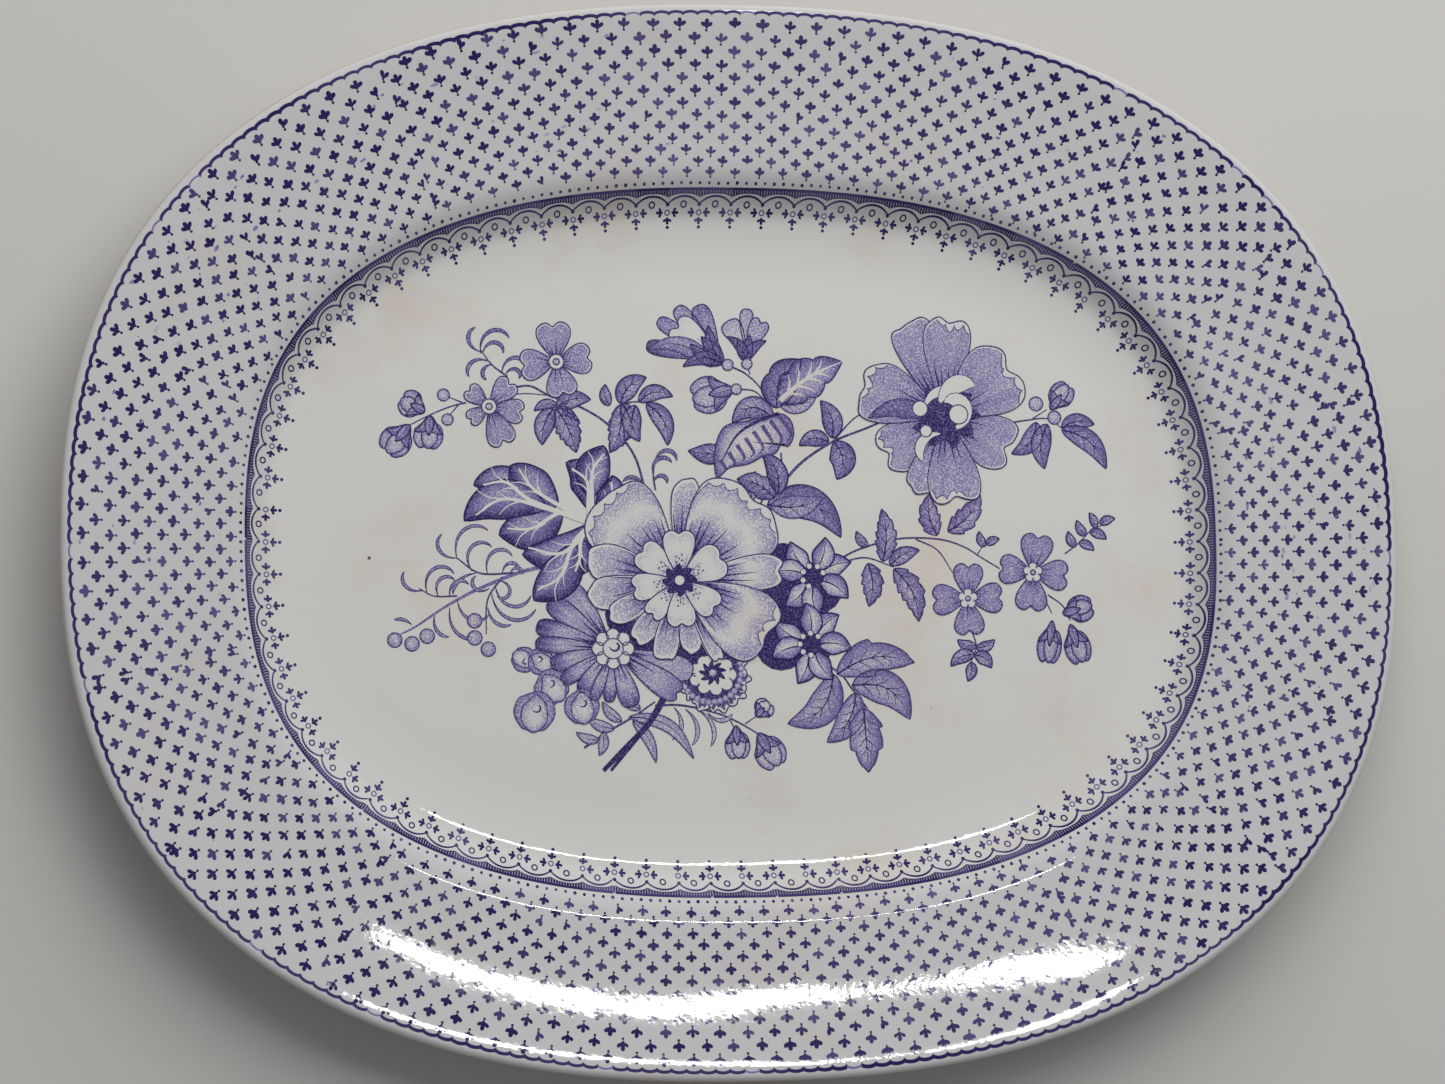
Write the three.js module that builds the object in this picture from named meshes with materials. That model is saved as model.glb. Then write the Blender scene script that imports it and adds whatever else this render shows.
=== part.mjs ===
// Oval serving platter in transfer-printed, glazed earthenware.
//
// The platter lies flat on its foot ring. Z points up from the table, X runs
// along its length and Y across its width. The origin is on the table under
// the middle of the platter. All lengths are in millimetres.
//
// The real thing is made in layers, and each layer is a mesh of its own:
// a biscuit-fired clay body, the four printed transfers laid on its face, and
// the glass of the glaze over them. The foot ring is wiped dry before the
// glaze firing, so it parts the outer coat from the patch under the base.

import * as THREE from 'three';

// ---- Driving dimensions ----------------------------------------------------

const LENGTH = 355; // outer edge to outer edge along X
const WIDTH = 283; // outer edge to outer edge along Y
const SQUARENESS = 2.36; // exponent of the oval: 2 is an ellipse

const RIM_WIDTH = 44; // outer edge to the shoulder of the well
const RIM_SLOPE_OUTER = 0.235; // rise over run of the rim at its outer edge
const RIM_SLOPE_INNER = 0.13; // the same at the shoulder
const WALL_WIDTH = 13; // shoulder to the bottom of the steep wall
const WALL_SLOPE = 1.1; // steepest rise over run, halfway down the wall
const COVE_WIDTH = 15; // soft curve from the wall into the flat floor
const COVE_SLOPE = 0.18; // rise over run where wall and cove meet

const LIP_THICKNESS = 3.8; // ceramic thickness at the outer edge
const BASE_THICKNESS = 5.2; // ceramic thickness under the floor
const FOOT_HEIGHT = 3.7; // table to the underside of the base
const FOOT_SETBACK = 3; // bottom of the wall to the outer side of the foot
const FOOT_WIDTH = 6; // width of the foot ring where it meets the base
const FOOT_FACE = 3; // width of the dry face that the platter stands on

const GLAZE_THICKNESS = 0.35;
const PRINT_THICKNESS = 0.15;
const LAYER_GAP = 0.1; // clearance between one layer and the next

const EDGE_LINE_INSET = 2.6; // outer edge to the scalloped line
const EDGE_LINE_BAND = 1.8; // line and scallops together
const SPRIG_MARGIN = 0.6; // white between the scallops and the sprig transfer
const VERGE_MARGIN = 1.2; // white between the sprig transfer and the verge
const VERGE_SETBACK = 3.6; // shoulder to the hatched line of the verge
const VERGE_BAND = 10.6; // hatched line, scallops, rings and florets

const BOUQUET_END_MARGIN = 9; // end of the flat floor to the print, along X
const BOUQUET_SIDE_MARGIN = 7.5; // side of the flat floor to the print, along Y
const BOUQUET_SHIFT = [5, -2]; // the print sits a little off the middle
const BOUQUET_BAYS = 7; // bays cut round the sprays of the print
const BOUQUET_BAY_DEPTH = 0.09; // depth of a bay, as a share of the radius

const FLATS = 64; // flats round the oval
const LIP_FLATS = 4; // flats round the lip, from its top to its underside
const BOUQUET_FLATS = 84; // flats round the bouquet transfer

const CLAY_COLOUR = 0xe6e2d8;
const GLAZE_COLOUR = 0xdfe0e6;
const INK_COLOUR = 0x43377f;

// ---- Sizes that follow from them -------------------------------------------

const LIP_RADIUS = LIP_THICKNESS / 2;
const WALL_INSET = RIM_WIDTH + WALL_WIDTH / 2; // the steepest line of the wall
const COVE_INSET = RIM_WIDTH + WALL_WIDTH;
const FLOOR_INSET = COVE_INSET + COVE_WIDTH; // the floor is flat inside this

const FOOT_INSET = COVE_INSET + FOOT_SETBACK;
const SPRIG_INSET = EDGE_LINE_INSET + EDGE_LINE_BAND + SPRIG_MARGIN;
const VERGE_INSET = RIM_WIDTH + VERGE_SETBACK;
const SPRIG_END_INSET = VERGE_INSET - VERGE_MARGIN;
const SPRIG_BAND = SPRIG_END_INSET - SPRIG_INSET;

// Depths below the glaze's outer skin, square to it.
const PRINT_DEPTH = GLAZE_THICKNESS + LAYER_GAP;
const BODY_FACE_DEPTH = PRINT_DEPTH + PRINT_THICKNESS + LAYER_GAP;
const BODY_BACK_DEPTH = GLAZE_THICKNESS + LAYER_GAP;
const FOOT_TAPER = (FOOT_WIDTH - FOOT_FACE) / 2 - BODY_BACK_DEPTH;

// How far the face drops from its outer edge to an inset. The slope changes
// evenly from one station to the next.
function faceDrop(inset) {
  const stations = [
    [0, RIM_SLOPE_OUTER],
    [RIM_WIDTH, RIM_SLOPE_INNER],
    [WALL_INSET, WALL_SLOPE],
    [COVE_INSET, COVE_SLOPE],
    [FLOOR_INSET, 0],
  ];
  let drop = 0;
  for (let index = 1; index < stations.length; index += 1) {
    const [start, startSlope] = stations[index - 1];
    const [end, endSlope] = stations[index];
    const reach = Math.min(Math.max(inset, start), end);
    const share = (reach - start) / (end - start);
    const reachSlope = startSlope + share * (endSlope - startSlope);
    drop += ((reach - start) * (startSlope + reachSlope)) / 2;
  }
  return drop;
}

const BASE_HEIGHT = FOOT_HEIGHT; // the underside of the base
const FLOOR_HEIGHT = BASE_HEIGHT + BASE_THICKNESS;
const faceHeight = (inset) => FLOOR_HEIGHT + faceDrop(FLOOR_INSET) - faceDrop(inset);
const LIP_TOP = faceHeight(LIP_RADIUS);

// Insets at which the face has a ring of vertices, from the floor out to the
// lip. Both edges of every printed band are among them, and all the layers
// use them, so that the layers stay parallel.
const FACE_INSETS = [
  FLOOR_INSET,
  COVE_INSET + COVE_WIDTH / 2,
  VERGE_INSET + VERGE_BAND,
  COVE_INSET,
  WALL_INSET + WALL_WIDTH / 4,
  WALL_INSET,
  VERGE_INSET,
  SPRIG_END_INSET,
  RIM_WIDTH,
  SPRIG_INSET + (SPRIG_BAND * 2) / 3,
  SPRIG_INSET + SPRIG_BAND / 3,
  SPRIG_INSET,
  EDGE_LINE_INSET + EDGE_LINE_BAND,
  EDGE_LINE_INSET,
  LIP_RADIUS,
].sort((first, second) => second - first);

// ---- The oval --------------------------------------------------------------

// Points at equal steps along the outer edge, each with its outward direction.
function ovalPoints(count) {
  const halfLength = LENGTH / 2;
  const halfWidth = WIDTH / 2;
  const signedPower = (value, power) => Math.sign(value) * Math.abs(value) ** power;
  const fineSteps = count * 64;
  const fine = [];
  const travelled = [0];
  for (let step = 0; step <= fineSteps; step += 1) {
    const angle = (2 * Math.PI * step) / fineSteps;
    const x = halfLength * signedPower(Math.cos(angle), 2 / SQUARENESS);
    const y = halfWidth * signedPower(Math.sin(angle), 2 / SQUARENESS);
    fine.push(new THREE.Vector2(x, y));
    if (step > 0) travelled.push(travelled[step - 1] + fine[step].distanceTo(fine[step - 1]));
  }
  const points = [];
  let step = 0;
  for (let index = 0; index < count; index += 1) {
    const target = (travelled[fineSteps] * index) / count;
    while (travelled[step + 1] < target) step += 1;
    const share = (target - travelled[step]) / (travelled[step + 1] - travelled[step]);
    const place = fine[step].clone().lerp(fine[step + 1], share);
    const outward = new THREE.Vector2(
      signedPower(place.x / halfLength, SQUARENESS - 1) / halfLength,
      signedPower(place.y / halfWidth, SQUARENESS - 1) / halfWidth,
    ).normalize();
    points.push({ place, outward });
  }
  return points;
}

const OVAL = ovalPoints(FLATS);

// ---- Sections: lists of [inset, height] points -----------------------------

// A point of the face, moved into the ceramic by a depth square to the face.
function facePoint(inset, depth) {
  const probe = 0.01;
  const rise = (faceHeight(inset - probe) - faceHeight(inset + probe)) / (2 * probe);
  const length = Math.hypot(rise, 1);
  return [inset - (depth * rise) / length, faceHeight(inset) - depth / length];
}

// The face from the edge of the floor to the top of the lip.
const facePath = (depth) => FACE_INSETS.map((inset) => facePoint(inset, depth));

// The round of the lip, from just after its top to its underside.
function lipPath(depth) {
  const radius = LIP_RADIUS - depth;
  const points = [];
  for (let step = 1; step <= LIP_FLATS; step += 1) {
    const angle = (Math.PI * step) / LIP_FLATS;
    const inset = LIP_RADIUS - radius * Math.sin(angle);
    points.push([inset, LIP_TOP - LIP_RADIUS + radius * Math.cos(angle)]);
  }
  return points;
}

// The underside of the rim and the wall, then the corner above the foot.
function undersidePath(depth) {
  const points = [RIM_WIDTH / 2, RIM_WIDTH, WALL_INSET].map((inset) => {
    const share = inset / FOOT_INSET;
    const thickness = LIP_THICKNESS + share * (BASE_THICKNESS - LIP_THICKNESS);
    return facePoint(inset, thickness - depth);
  });
  points.push([FOOT_INSET + depth, BASE_HEIGHT + depth]);
  return points;
}

// A point on the outer or inner side of the foot ring, at a share of its height.
const footOuterSide = (depth, share) => [
  FOOT_INSET + depth + FOOT_TAPER * (1 - share),
  BASE_HEIGHT * share,
];
const footInnerSide = (depth, share) => [
  FOOT_INSET + FOOT_WIDTH - depth - FOOT_TAPER * (1 - share),
  BASE_HEIGHT * share,
];
const baseCorner = (depth) => [FOOT_INSET + FOOT_WIDTH - depth, BASE_HEIGHT + depth];

// ---- Solids ----------------------------------------------------------------

// Sweeps a section round the oval. The section runs outwards over the top of
// the solid and back underneath. A section given with the heights of its two
// centres is closed by a fan of triangles there; one without closes on itself.
function sweptSolid(section, centreHeights) {
  const positions = [];
  const triangles = [];
  for (const [inset, height] of section) {
    for (const { place, outward } of OVAL) {
      positions.push(place.x - outward.x * inset, place.y - outward.y * inset, height);
    }
  }
  const rings = section.length;
  const vertex = (ring, flat) => (ring % rings) * FLATS + (flat % FLATS);
  const lastRing = centreHeights ? rings - 1 : rings;
  for (let ring = 0; ring < lastRing; ring += 1) {
    for (let flat = 0; flat < FLATS; flat += 1) {
      const corner = vertex(ring, flat);
      const opposite = vertex(ring + 1, flat + 1);
      triangles.push(corner, vertex(ring + 1, flat), opposite);
      triangles.push(corner, opposite, vertex(ring, flat + 1));
    }
  }
  if (centreHeights) {
    const topCentre = positions.length / 3;
    positions.push(0, 0, centreHeights[0], 0, 0, centreHeights[1]);
    for (let flat = 0; flat < FLATS; flat += 1) {
      triangles.push(topCentre, vertex(0, flat), vertex(0, flat + 1));
      triangles.push(topCentre + 1, vertex(rings - 1, flat + 1), vertex(rings - 1, flat));
    }
  }
  const geometry = new THREE.BufferGeometry();
  geometry.setAttribute('position', new THREE.Float32BufferAttribute(positions, 3));
  geometry.setIndex(triangles);
  geometry.computeVertexNormals();
  return geometry;
}

// The clay body. The foot ring is pressed in one with it.
function biscuitBody() {
  const section = [
    ...facePath(BODY_FACE_DEPTH),
    ...lipPath(BODY_BACK_DEPTH),
    ...undersidePath(BODY_BACK_DEPTH),
    footOuterSide(BODY_BACK_DEPTH, 0),
    footInnerSide(BODY_BACK_DEPTH, 0),
    baseCorner(BODY_BACK_DEPTH),
  ];
  return sweptSolid(section, [FLOOR_HEIGHT - BODY_FACE_DEPTH, BASE_HEIGHT + BODY_BACK_DEPTH]);
}

// The glaze over the face, round the lip and down the back to halfway down
// the outer side of the foot, where it was wiped away.
function glazeCoat() {
  const skin = (depth) => [
    ...facePath(depth),
    ...lipPath(depth),
    ...undersidePath(depth),
    footOuterSide(depth, 0.5),
  ];
  const section = [...skin(0), ...skin(GLAZE_THICKNESS).reverse()];
  return sweptSolid(section, [FLOOR_HEIGHT, FLOOR_HEIGHT - GLAZE_THICKNESS]);
}

// The glaze under the base, inside the foot ring.
function baseGlaze() {
  const section = [
    baseCorner(GLAZE_THICKNESS),
    footInnerSide(GLAZE_THICKNESS, 0.5),
    footInnerSide(0, 0.5),
    baseCorner(0),
  ];
  return sweptSolid(section, [BASE_HEIGHT + GLAZE_THICKNESS, BASE_HEIGHT]);
}

// A printed band on the face, between two of the face's insets.
function printedBand(outerInset, innerInset) {
  const insets = FACE_INSETS.filter((inset) => inset >= outerInset && inset <= innerInset);
  const top = insets.map((inset) => facePoint(inset, PRINT_DEPTH));
  const underside = insets.map((inset) => facePoint(inset, PRINT_DEPTH + PRINT_THICKNESS));
  return sweptSolid([...top, ...underside.reverse()]);
}

// The bouquet's transfer, trimmed in bays round its sprays.
function centreTransfer() {
  const halfLength = LENGTH / 2 - FLOOR_INSET - BOUQUET_END_MARGIN;
  const halfWidth = WIDTH / 2 - FLOOR_INSET - BOUQUET_SIDE_MARGIN;
  const outline = [];
  for (let flat = 0; flat < BOUQUET_FLATS; flat += 1) {
    const angle = (2 * Math.PI * flat) / BOUQUET_FLATS;
    const bay = (BOUQUET_BAY_DEPTH * (1 - Math.cos(BOUQUET_BAYS * angle))) / 2;
    const x = BOUQUET_SHIFT[0] + halfLength * (1 - bay) * Math.cos(angle);
    const y = BOUQUET_SHIFT[1] + halfWidth * (1 - bay) * Math.sin(angle);
    outline.push(new THREE.Vector2(x, y));
  }
  const shape = new THREE.Shape(outline);
  return new THREE.ExtrudeGeometry(shape, { depth: PRINT_THICKNESS, bevelEnabled: false });
}

// ---- The platter -----------------------------------------------------------

const clay = new THREE.MeshStandardMaterial({
  color: CLAY_COLOUR,
  roughness: 0.85,
  metalness: 0,
});
const glaze = new THREE.MeshStandardMaterial({
  color: GLAZE_COLOUR,
  roughness: 0.08,
  metalness: 0,
});
const ink = new THREE.MeshStandardMaterial({
  color: INK_COLOUR,
  roughness: 0.5,
  metalness: 0,
});

const platter = new THREE.Group();

function addLayer(name, geometry, material) {
  const layer = new THREE.Mesh(geometry, material);
  layer.name = name;
  platter.add(layer);
  return layer;
}

addLayer('biscuit_body', biscuitBody(), clay);
addLayer('edge_line_print', printedBand(EDGE_LINE_INSET, EDGE_LINE_INSET + EDGE_LINE_BAND), ink);
addLayer('rim_sprig_print', printedBand(SPRIG_INSET, SPRIG_END_INSET), ink);
addLayer('verge_print', printedBand(VERGE_INSET, VERGE_INSET + VERGE_BAND), ink);
const centrePrint = addLayer('centre_bouquet_print', centreTransfer(), ink);
centrePrint.position.z = FLOOR_HEIGHT - PRINT_DEPTH - PRINT_THICKNESS;
addLayer('glaze_coat', glazeCoat(), glaze);
addLayer('base_glaze', baseGlaze(), glaze);

export default platter;
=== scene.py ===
"""Oval earthenware platter, printed in violet under the glaze, lying on a pale floor.

X runs along the platter, Y across it and Z up, in metres. The print is drawn in millimetres
on the plan of the platter and laid on the surface of the face.
"""

import math
import random

import bpy
import numpy as np
from mathutils import Matrix, Vector


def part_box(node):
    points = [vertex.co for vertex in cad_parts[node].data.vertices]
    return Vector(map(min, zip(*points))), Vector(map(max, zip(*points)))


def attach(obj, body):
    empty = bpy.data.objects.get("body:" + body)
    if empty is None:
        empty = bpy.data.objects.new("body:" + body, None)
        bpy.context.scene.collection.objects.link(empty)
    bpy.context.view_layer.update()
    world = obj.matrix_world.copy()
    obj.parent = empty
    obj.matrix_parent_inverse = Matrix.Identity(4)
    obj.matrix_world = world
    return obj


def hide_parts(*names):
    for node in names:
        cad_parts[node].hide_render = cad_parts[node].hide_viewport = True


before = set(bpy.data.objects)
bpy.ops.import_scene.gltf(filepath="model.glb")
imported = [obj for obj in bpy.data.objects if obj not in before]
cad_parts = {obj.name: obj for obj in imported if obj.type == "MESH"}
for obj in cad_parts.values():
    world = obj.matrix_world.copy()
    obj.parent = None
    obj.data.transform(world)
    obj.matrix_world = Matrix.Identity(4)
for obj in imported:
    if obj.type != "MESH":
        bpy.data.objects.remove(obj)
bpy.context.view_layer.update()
MM = 0.001


# ---- Camera ------------------------------------------------------------------------------
# The platter is seen almost square on, from a little to the left of its middle and a little
# below, through a long lens. Its own length runs nearly level across the view.

VIEW_DISTANCE = 1.2
VIEW_LENS = 114.5
VIEW_TIP = math.radians(-5.7)
VIEW_SWING = math.radians(10.2)
VIEW_SLIDE = (-6.2, -1.5)

rim_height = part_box("glaze_coat")[1].z
swing = Matrix.Rotation(VIEW_SWING, 3, "Y") @ Matrix.Rotation(VIEW_TIP, 3, "X")
camera_data = bpy.data.cameras.new("camera")
camera_data.lens = VIEW_LENS
camera_data.clip_start = 0.05
camera_data.clip_end = 20.0
camera = bpy.data.objects.new("camera", camera_data)
bpy.context.scene.collection.objects.link(camera)
bpy.context.scene.camera = camera
eye = Vector((VIEW_SLIDE[0] * MM, VIEW_SLIDE[1] * MM, VIEW_DISTANCE))
place = swing.transposed() @ eye + Vector((0, 0, rim_height))
camera.matrix_world = Matrix.Translation(place) @ swing.transposed().to_4x4()


# ---- Biscuit body ------------------------------------------------------------------------
# White earthenware clay, pressed over an oval mould with its foot ring and fired once. The
# glaze hides it everywhere but on the foot, which was wiped dry so as not to stick in the kiln.

coat_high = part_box("glaze_coat")[1]
HALF_LENGTH = coat_high.x / MM
HALF_WIDTH = coat_high.y / MM
SQUARENESS = 2.36

RIM_WIDTH = 44.0
WALL_WIDTH = 13.0
COVE_WIDTH = 15.0
COVE_INSET = RIM_WIDTH + WALL_WIDTH
FLOOR_INSET = COVE_INSET + COVE_WIDTH
FLOOR_HEIGHT = 8.9
# Rise over run of the face at insets from the edge: the lip rolled over, the rim easing, the
# shoulder, the steep middle of the wall, the cove and the flat floor.
SLOPE_STATIONS = (0.0, 2.0, 3.6, 5.4, 7.0, 14.0, 21.0, RIM_WIDTH - 4.5, RIM_WIDTH - 2.7,
                  RIM_WIDTH - 0.5, RIM_WIDTH + WALL_WIDTH / 2, COVE_INSET - 2.0,
                  COVE_INSET - 0.8, COVE_INSET + 1.0, FLOOR_INSET)
SLOPES = (0.0, 0.06, 0.186, 0.208, 0.24, 0.207, 0.19, 0.13, 0.175, 0.3, 1.15, 0.26, 0.165, 0.14, 0.0)

OVAL_STEPS = 8192


def signed_power(value, power):
    return np.sign(value) * np.abs(value) ** power


def oval_table():
    """Fine points round the outer edge, in millimetres, and the direction outwards at each."""
    angle = np.linspace(0.0, 2.0 * math.pi, OVAL_STEPS, endpoint=False)
    x = HALF_LENGTH * signed_power(np.cos(angle), 2.0 / SQUARENESS)
    y = HALF_WIDTH * signed_power(np.sin(angle), 2.0 / SQUARENESS)
    points = np.stack([x, y], 1)
    steps = np.linalg.norm(np.roll(points, -1, 0) - points, axis=1)
    along = np.concatenate([[0.0], np.cumsum(steps)])
    even = np.linspace(0.0, along[-1], OVAL_STEPS, endpoint=False)
    closed = np.vstack([points, points[:1]])
    x = np.interp(even, along, closed[:, 0])
    y = np.interp(even, along, closed[:, 1])
    outward = np.stack([signed_power(x / HALF_LENGTH, SQUARENESS - 1.0) / HALF_LENGTH,
                        signed_power(y / HALF_WIDTH, SQUARENESS - 1.0) / HALF_WIDTH], 1)
    outward /= np.linalg.norm(outward, axis=1)[:, None]
    return np.stack([x, y], 1), outward


OVAL_POINTS, OVAL_OUTWARD = oval_table()


def oval_at(step):
    """The plan point on the outer edge and the outward direction at a step of the fine table."""
    step = np.asarray(step, float) % OVAL_STEPS
    low = np.floor(step).astype(int) % OVAL_STEPS
    high = (low + 1) % OVAL_STEPS
    share = (step - np.floor(step))[..., None]
    point = OVAL_POINTS[low] * (1 - share) + OVAL_POINTS[high] * share
    outward = OVAL_OUTWARD[low] * (1 - share) + OVAL_OUTWARD[high] * share
    return point, outward / np.linalg.norm(outward, axis=-1)[..., None]


def steps_along(inset, distances):
    """Steps of the fine table at given distances along the oval at an inset."""
    ring = OVAL_POINTS - OVAL_OUTWARD * inset
    lengths = np.linalg.norm(np.roll(ring, -1, 0) - ring, axis=1)
    along = np.concatenate([[0.0], np.cumsum(lengths)])
    laps = np.floor(np.asarray(distances, float) / along[-1])
    within = np.asarray(distances, float) - laps * along[-1]
    return np.interp(within, along, np.arange(OVAL_STEPS + 1)) + laps * OVAL_STEPS


def girth(inset):
    ring = OVAL_POINTS - OVAL_OUTWARD * inset
    return float(np.linalg.norm(np.roll(ring, -1, 0) - ring, axis=1).sum())


FINE_INSETS = np.linspace(0.0, FLOOR_INSET, 1441)
FINE_SLOPES = np.interp(FINE_INSETS, SLOPE_STATIONS, SLOPES)
FINE_DROPS = np.concatenate(
    [[0.0], np.cumsum((FINE_SLOPES[1:] + FINE_SLOPES[:-1]) / 2 * np.diff(FINE_INSETS))])


def face_slope(inset):
    """Rise over run of the face, outwards."""
    return np.interp(inset, FINE_INSETS, FINE_SLOPES, right=0.0)


def face_height(inset):
    """Height of the glazed face above the table, in millimetres."""
    return FLOOR_HEIGHT + FINE_DROPS[-1] - np.interp(inset, FINE_INSETS, FINE_DROPS)


LIP_RADIUS = 1.9
LIP_TOP = float(face_height(LIP_RADIUS))
BASE_HEIGHT = 3.7
BASE_THICKNESS = FLOOR_HEIGHT - BASE_HEIGHT
FOOT_INSET = 60.0
FOOT_WIDTH = 6.0
FOOT_TAPER = 1.05


def face_path(insets, depth):
    """Section points [inset, height] of the face, sunk square to it by a depth."""
    slope = face_slope(insets)
    length = np.hypot(slope, 1.0)
    return np.stack([insets - depth * slope / length, face_height(insets) - depth / length], 1)


def lip_path(depth, flats):
    """The round of the lip, from just after its top to its underside."""
    angle = np.linspace(0.0, math.pi, flats + 1)[1:]
    radius = LIP_RADIUS - depth
    return np.stack([LIP_RADIUS - radius * np.sin(angle),
                     LIP_TOP - LIP_RADIUS + radius * np.cos(angle)], 1)


BACK_END = RIM_WIDTH + WALL_WIDTH * 0.62  # where the back of the wall turns to the foot
FOOT_REACH = 0.9  # how far down the foot the soft corner under the wall runs


def underside_path(depth, flats):
    """The back of the rim and wall, ending in a soft corner above the foot."""
    insets = np.linspace(LIP_RADIUS + 1.0, BACK_END, flats)
    thickness = 2 * LIP_RADIUS + insets / FOOT_INSET * (BASE_THICKNESS - 2 * LIP_RADIUS)
    slope = face_slope(insets)
    length = np.hypot(slope, 1.0)
    sunk = thickness - depth
    back = np.stack([insets - sunk * slope / length, face_height(insets) - sunk / length], 1)
    corner = np.array([FOOT_INSET - 1.5, BASE_HEIGHT + 0.6])
    foot_top = np.array([FOOT_INSET + depth, BASE_HEIGHT - FOOT_REACH])
    turn = np.linspace(0.0, 1.0, 7)[1:, None]
    bend = back[-1] * (1 - turn) ** 2 + 2 * corner * turn * (1 - turn) + foot_top * turn ** 2
    bend[:, 1] += depth * (1 - turn[:, 0])
    return np.vstack([back, bend])


def swept_mesh(name, section, flats, centre_heights=None):
    """Sweeps a section round the oval: outwards over the top of the solid, back underneath."""
    point, outward = oval_at(np.arange(flats) * OVAL_STEPS / flats)
    rings = len(section)
    plan = point[None] - outward[None] * section[:, None, None, 0].reshape(rings, 1, 1)
    height = np.broadcast_to(section[:, 1][:, None, None], (rings, flats, 1))
    vertices = np.concatenate([plan, height], 2).reshape(-1, 3) * MM
    faces = []
    last = rings - 1 if centre_heights else rings
    for ring in range(last):
        for flat in range(flats):
            near, far = ring * flats, ((ring + 1) % rings) * flats
            beside = (flat + 1) % flats
            faces.append((near + flat, far + flat, far + beside, near + beside))
    if centre_heights:
        top = len(vertices)
        centres = [[0.0, 0.0, height * MM] for height in centre_heights]
        vertices = np.vstack([vertices, centres])
        under = (rings - 1) * flats
        for flat in range(flats):
            beside = (flat + 1) % flats
            faces.append((top, flat, beside))
            faces.append((top + 1, under + beside, under + flat))
    mesh = bpy.data.meshes.new(name)
    mesh.from_pydata(vertices.tolist(), [], faces)
    mesh.polygons.foreach_set("use_smooth", [True] * len(mesh.polygons))
    mesh.update()
    return mesh


def add_piece(name, mesh, nodes, material):
    """Makes a mesh a piece of the platter, in place of the CAD nodes it stands for."""
    piece = bpy.data.objects.new(name, mesh)
    bpy.context.scene.collection.objects.link(piece)
    mesh.materials.append(material)
    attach(piece, "root")
    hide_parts(*nodes)
    return piece


def linear(hex_colour):
    """An sRGB hex colour as a linear RGBA tuple."""
    channels = [int(hex_colour[place:place + 2], 16) / 255 for place in (1, 3, 5)]
    return tuple(c / 12.92 if c <= 0.04045 else ((c + 0.055) / 1.055) ** 2.4
                 for c in channels) + (1.0,)


def add_node(tree, kind, sockets=None, **settings):
    """Adds a node with its settings; a socket given another node is linked to its output."""
    made = tree.nodes.new("ShaderNode" + kind)
    for setting, value in settings.items():
        setattr(made, setting, value)
    for name, value in (sockets or {}).items():
        socket = made.inputs[name] if isinstance(name, int) else next(
            choice for choice in made.inputs if choice.enabled and choice.name == name)
        if isinstance(value, bpy.types.Node):
            value = next(result for result in value.outputs if result.enabled)
        if isinstance(value, bpy.types.NodeSocket):
            tree.links.new(value, socket)
        else:
            socket.default_value = value
    return made


def blend(tree, factor, first, second):
    """A colour that runs from the first to the second as the factor rises."""
    return add_node(tree, "Mix", {"Factor": factor, "A": first, "B": second}, data_type="RGBA")


def noise(tree, place, size, **sockets):
    """Noise with features of a size in millimetres."""
    given = {"Vector": place, "Scale": 1 / (size * MM)}
    given.update({name.title(): value for name, value in sockets.items()})
    return add_node(tree, "TexNoise", given).outputs["Fac"]


def remap(tree, value, start, end, low=0.0, high=1.0):
    """A value that runs from low to high while another runs from start to end."""
    return add_node(tree, "MapRange", {"Value": value, "From Min": start, "From Max": end,
                                       "To Min": low, "To Max": high})


def object_place(tree):
    return add_node(tree, "TexCoord").outputs["Object"]


def new_material(name):
    """An empty node material, with its tree and its output node."""
    material = bpy.data.materials.new(name)
    material.use_nodes = True
    material.node_tree.nodes.clear()
    output = add_node(material.node_tree, "OutputMaterial")
    return material, material.node_tree, output


# Bare biscuit earthenware, ground flat on the foot: matt, warm off-white, a little soiled
# where it has slid over shelves. The grain is the clay's, 0.4 mm.
biscuit_clay, tree, output = new_material("biscuit_earthenware")
place = object_place(tree)
soiling = noise(tree, place, 14, detail=6.0)
clay_colour = blend(tree, soiling, linear("#e3dccb"), linear("#b9a88c"))
grain = noise(tree, place, 0.4, detail=3.0)
clay_bump = add_node(tree, "Bump", {"Height": grain, "Strength": 0.35, "Distance": 0.1 * MM})
clay = add_node(tree, "BsdfPrincipled", {"Base Color": clay_colour,
                                         "Roughness": 0.85, "IOR": 1.5,
                                         "Normal": clay_bump.outputs["Normal"]})
tree.links.new(clay.outputs["BSDF"], output.inputs["Surface"])

body_insets = np.concatenate([np.linspace(FLOOR_INSET, RIM_WIDTH - 2, 25),
                              np.linspace(RIM_WIDTH - 6, LIP_RADIUS, 7)])
BODY_FACE_DEPTH = 0.7
BODY_BACK_DEPTH = 0.45
foot_bottom_outer = FOOT_INSET + BODY_BACK_DEPTH + FOOT_TAPER
foot_bottom_inner = FOOT_INSET + FOOT_WIDTH - BODY_BACK_DEPTH - FOOT_TAPER
body_section = np.vstack([
    face_path(body_insets, BODY_FACE_DEPTH),
    lip_path(BODY_BACK_DEPTH, 8),
    underside_path(BODY_BACK_DEPTH, 12),
    [[foot_bottom_outer - 0.35, 0.45], [foot_bottom_outer + 0.1, 0.0],
     [foot_bottom_inner - 0.1, 0.0], [foot_bottom_inner + 0.35, 0.45],
     [FOOT_INSET + FOOT_WIDTH - BODY_BACK_DEPTH, BASE_HEIGHT + BODY_BACK_DEPTH]]])
body_mesh = swept_mesh("biscuit_body_with_foot", body_section, 256,
                       (FLOOR_HEIGHT - BODY_FACE_DEPTH, BASE_HEIGHT + BODY_BACK_DEPTH))
add_piece("biscuit_body_with_foot", body_mesh, ["biscuit_body"], biscuit_clay)


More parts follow.
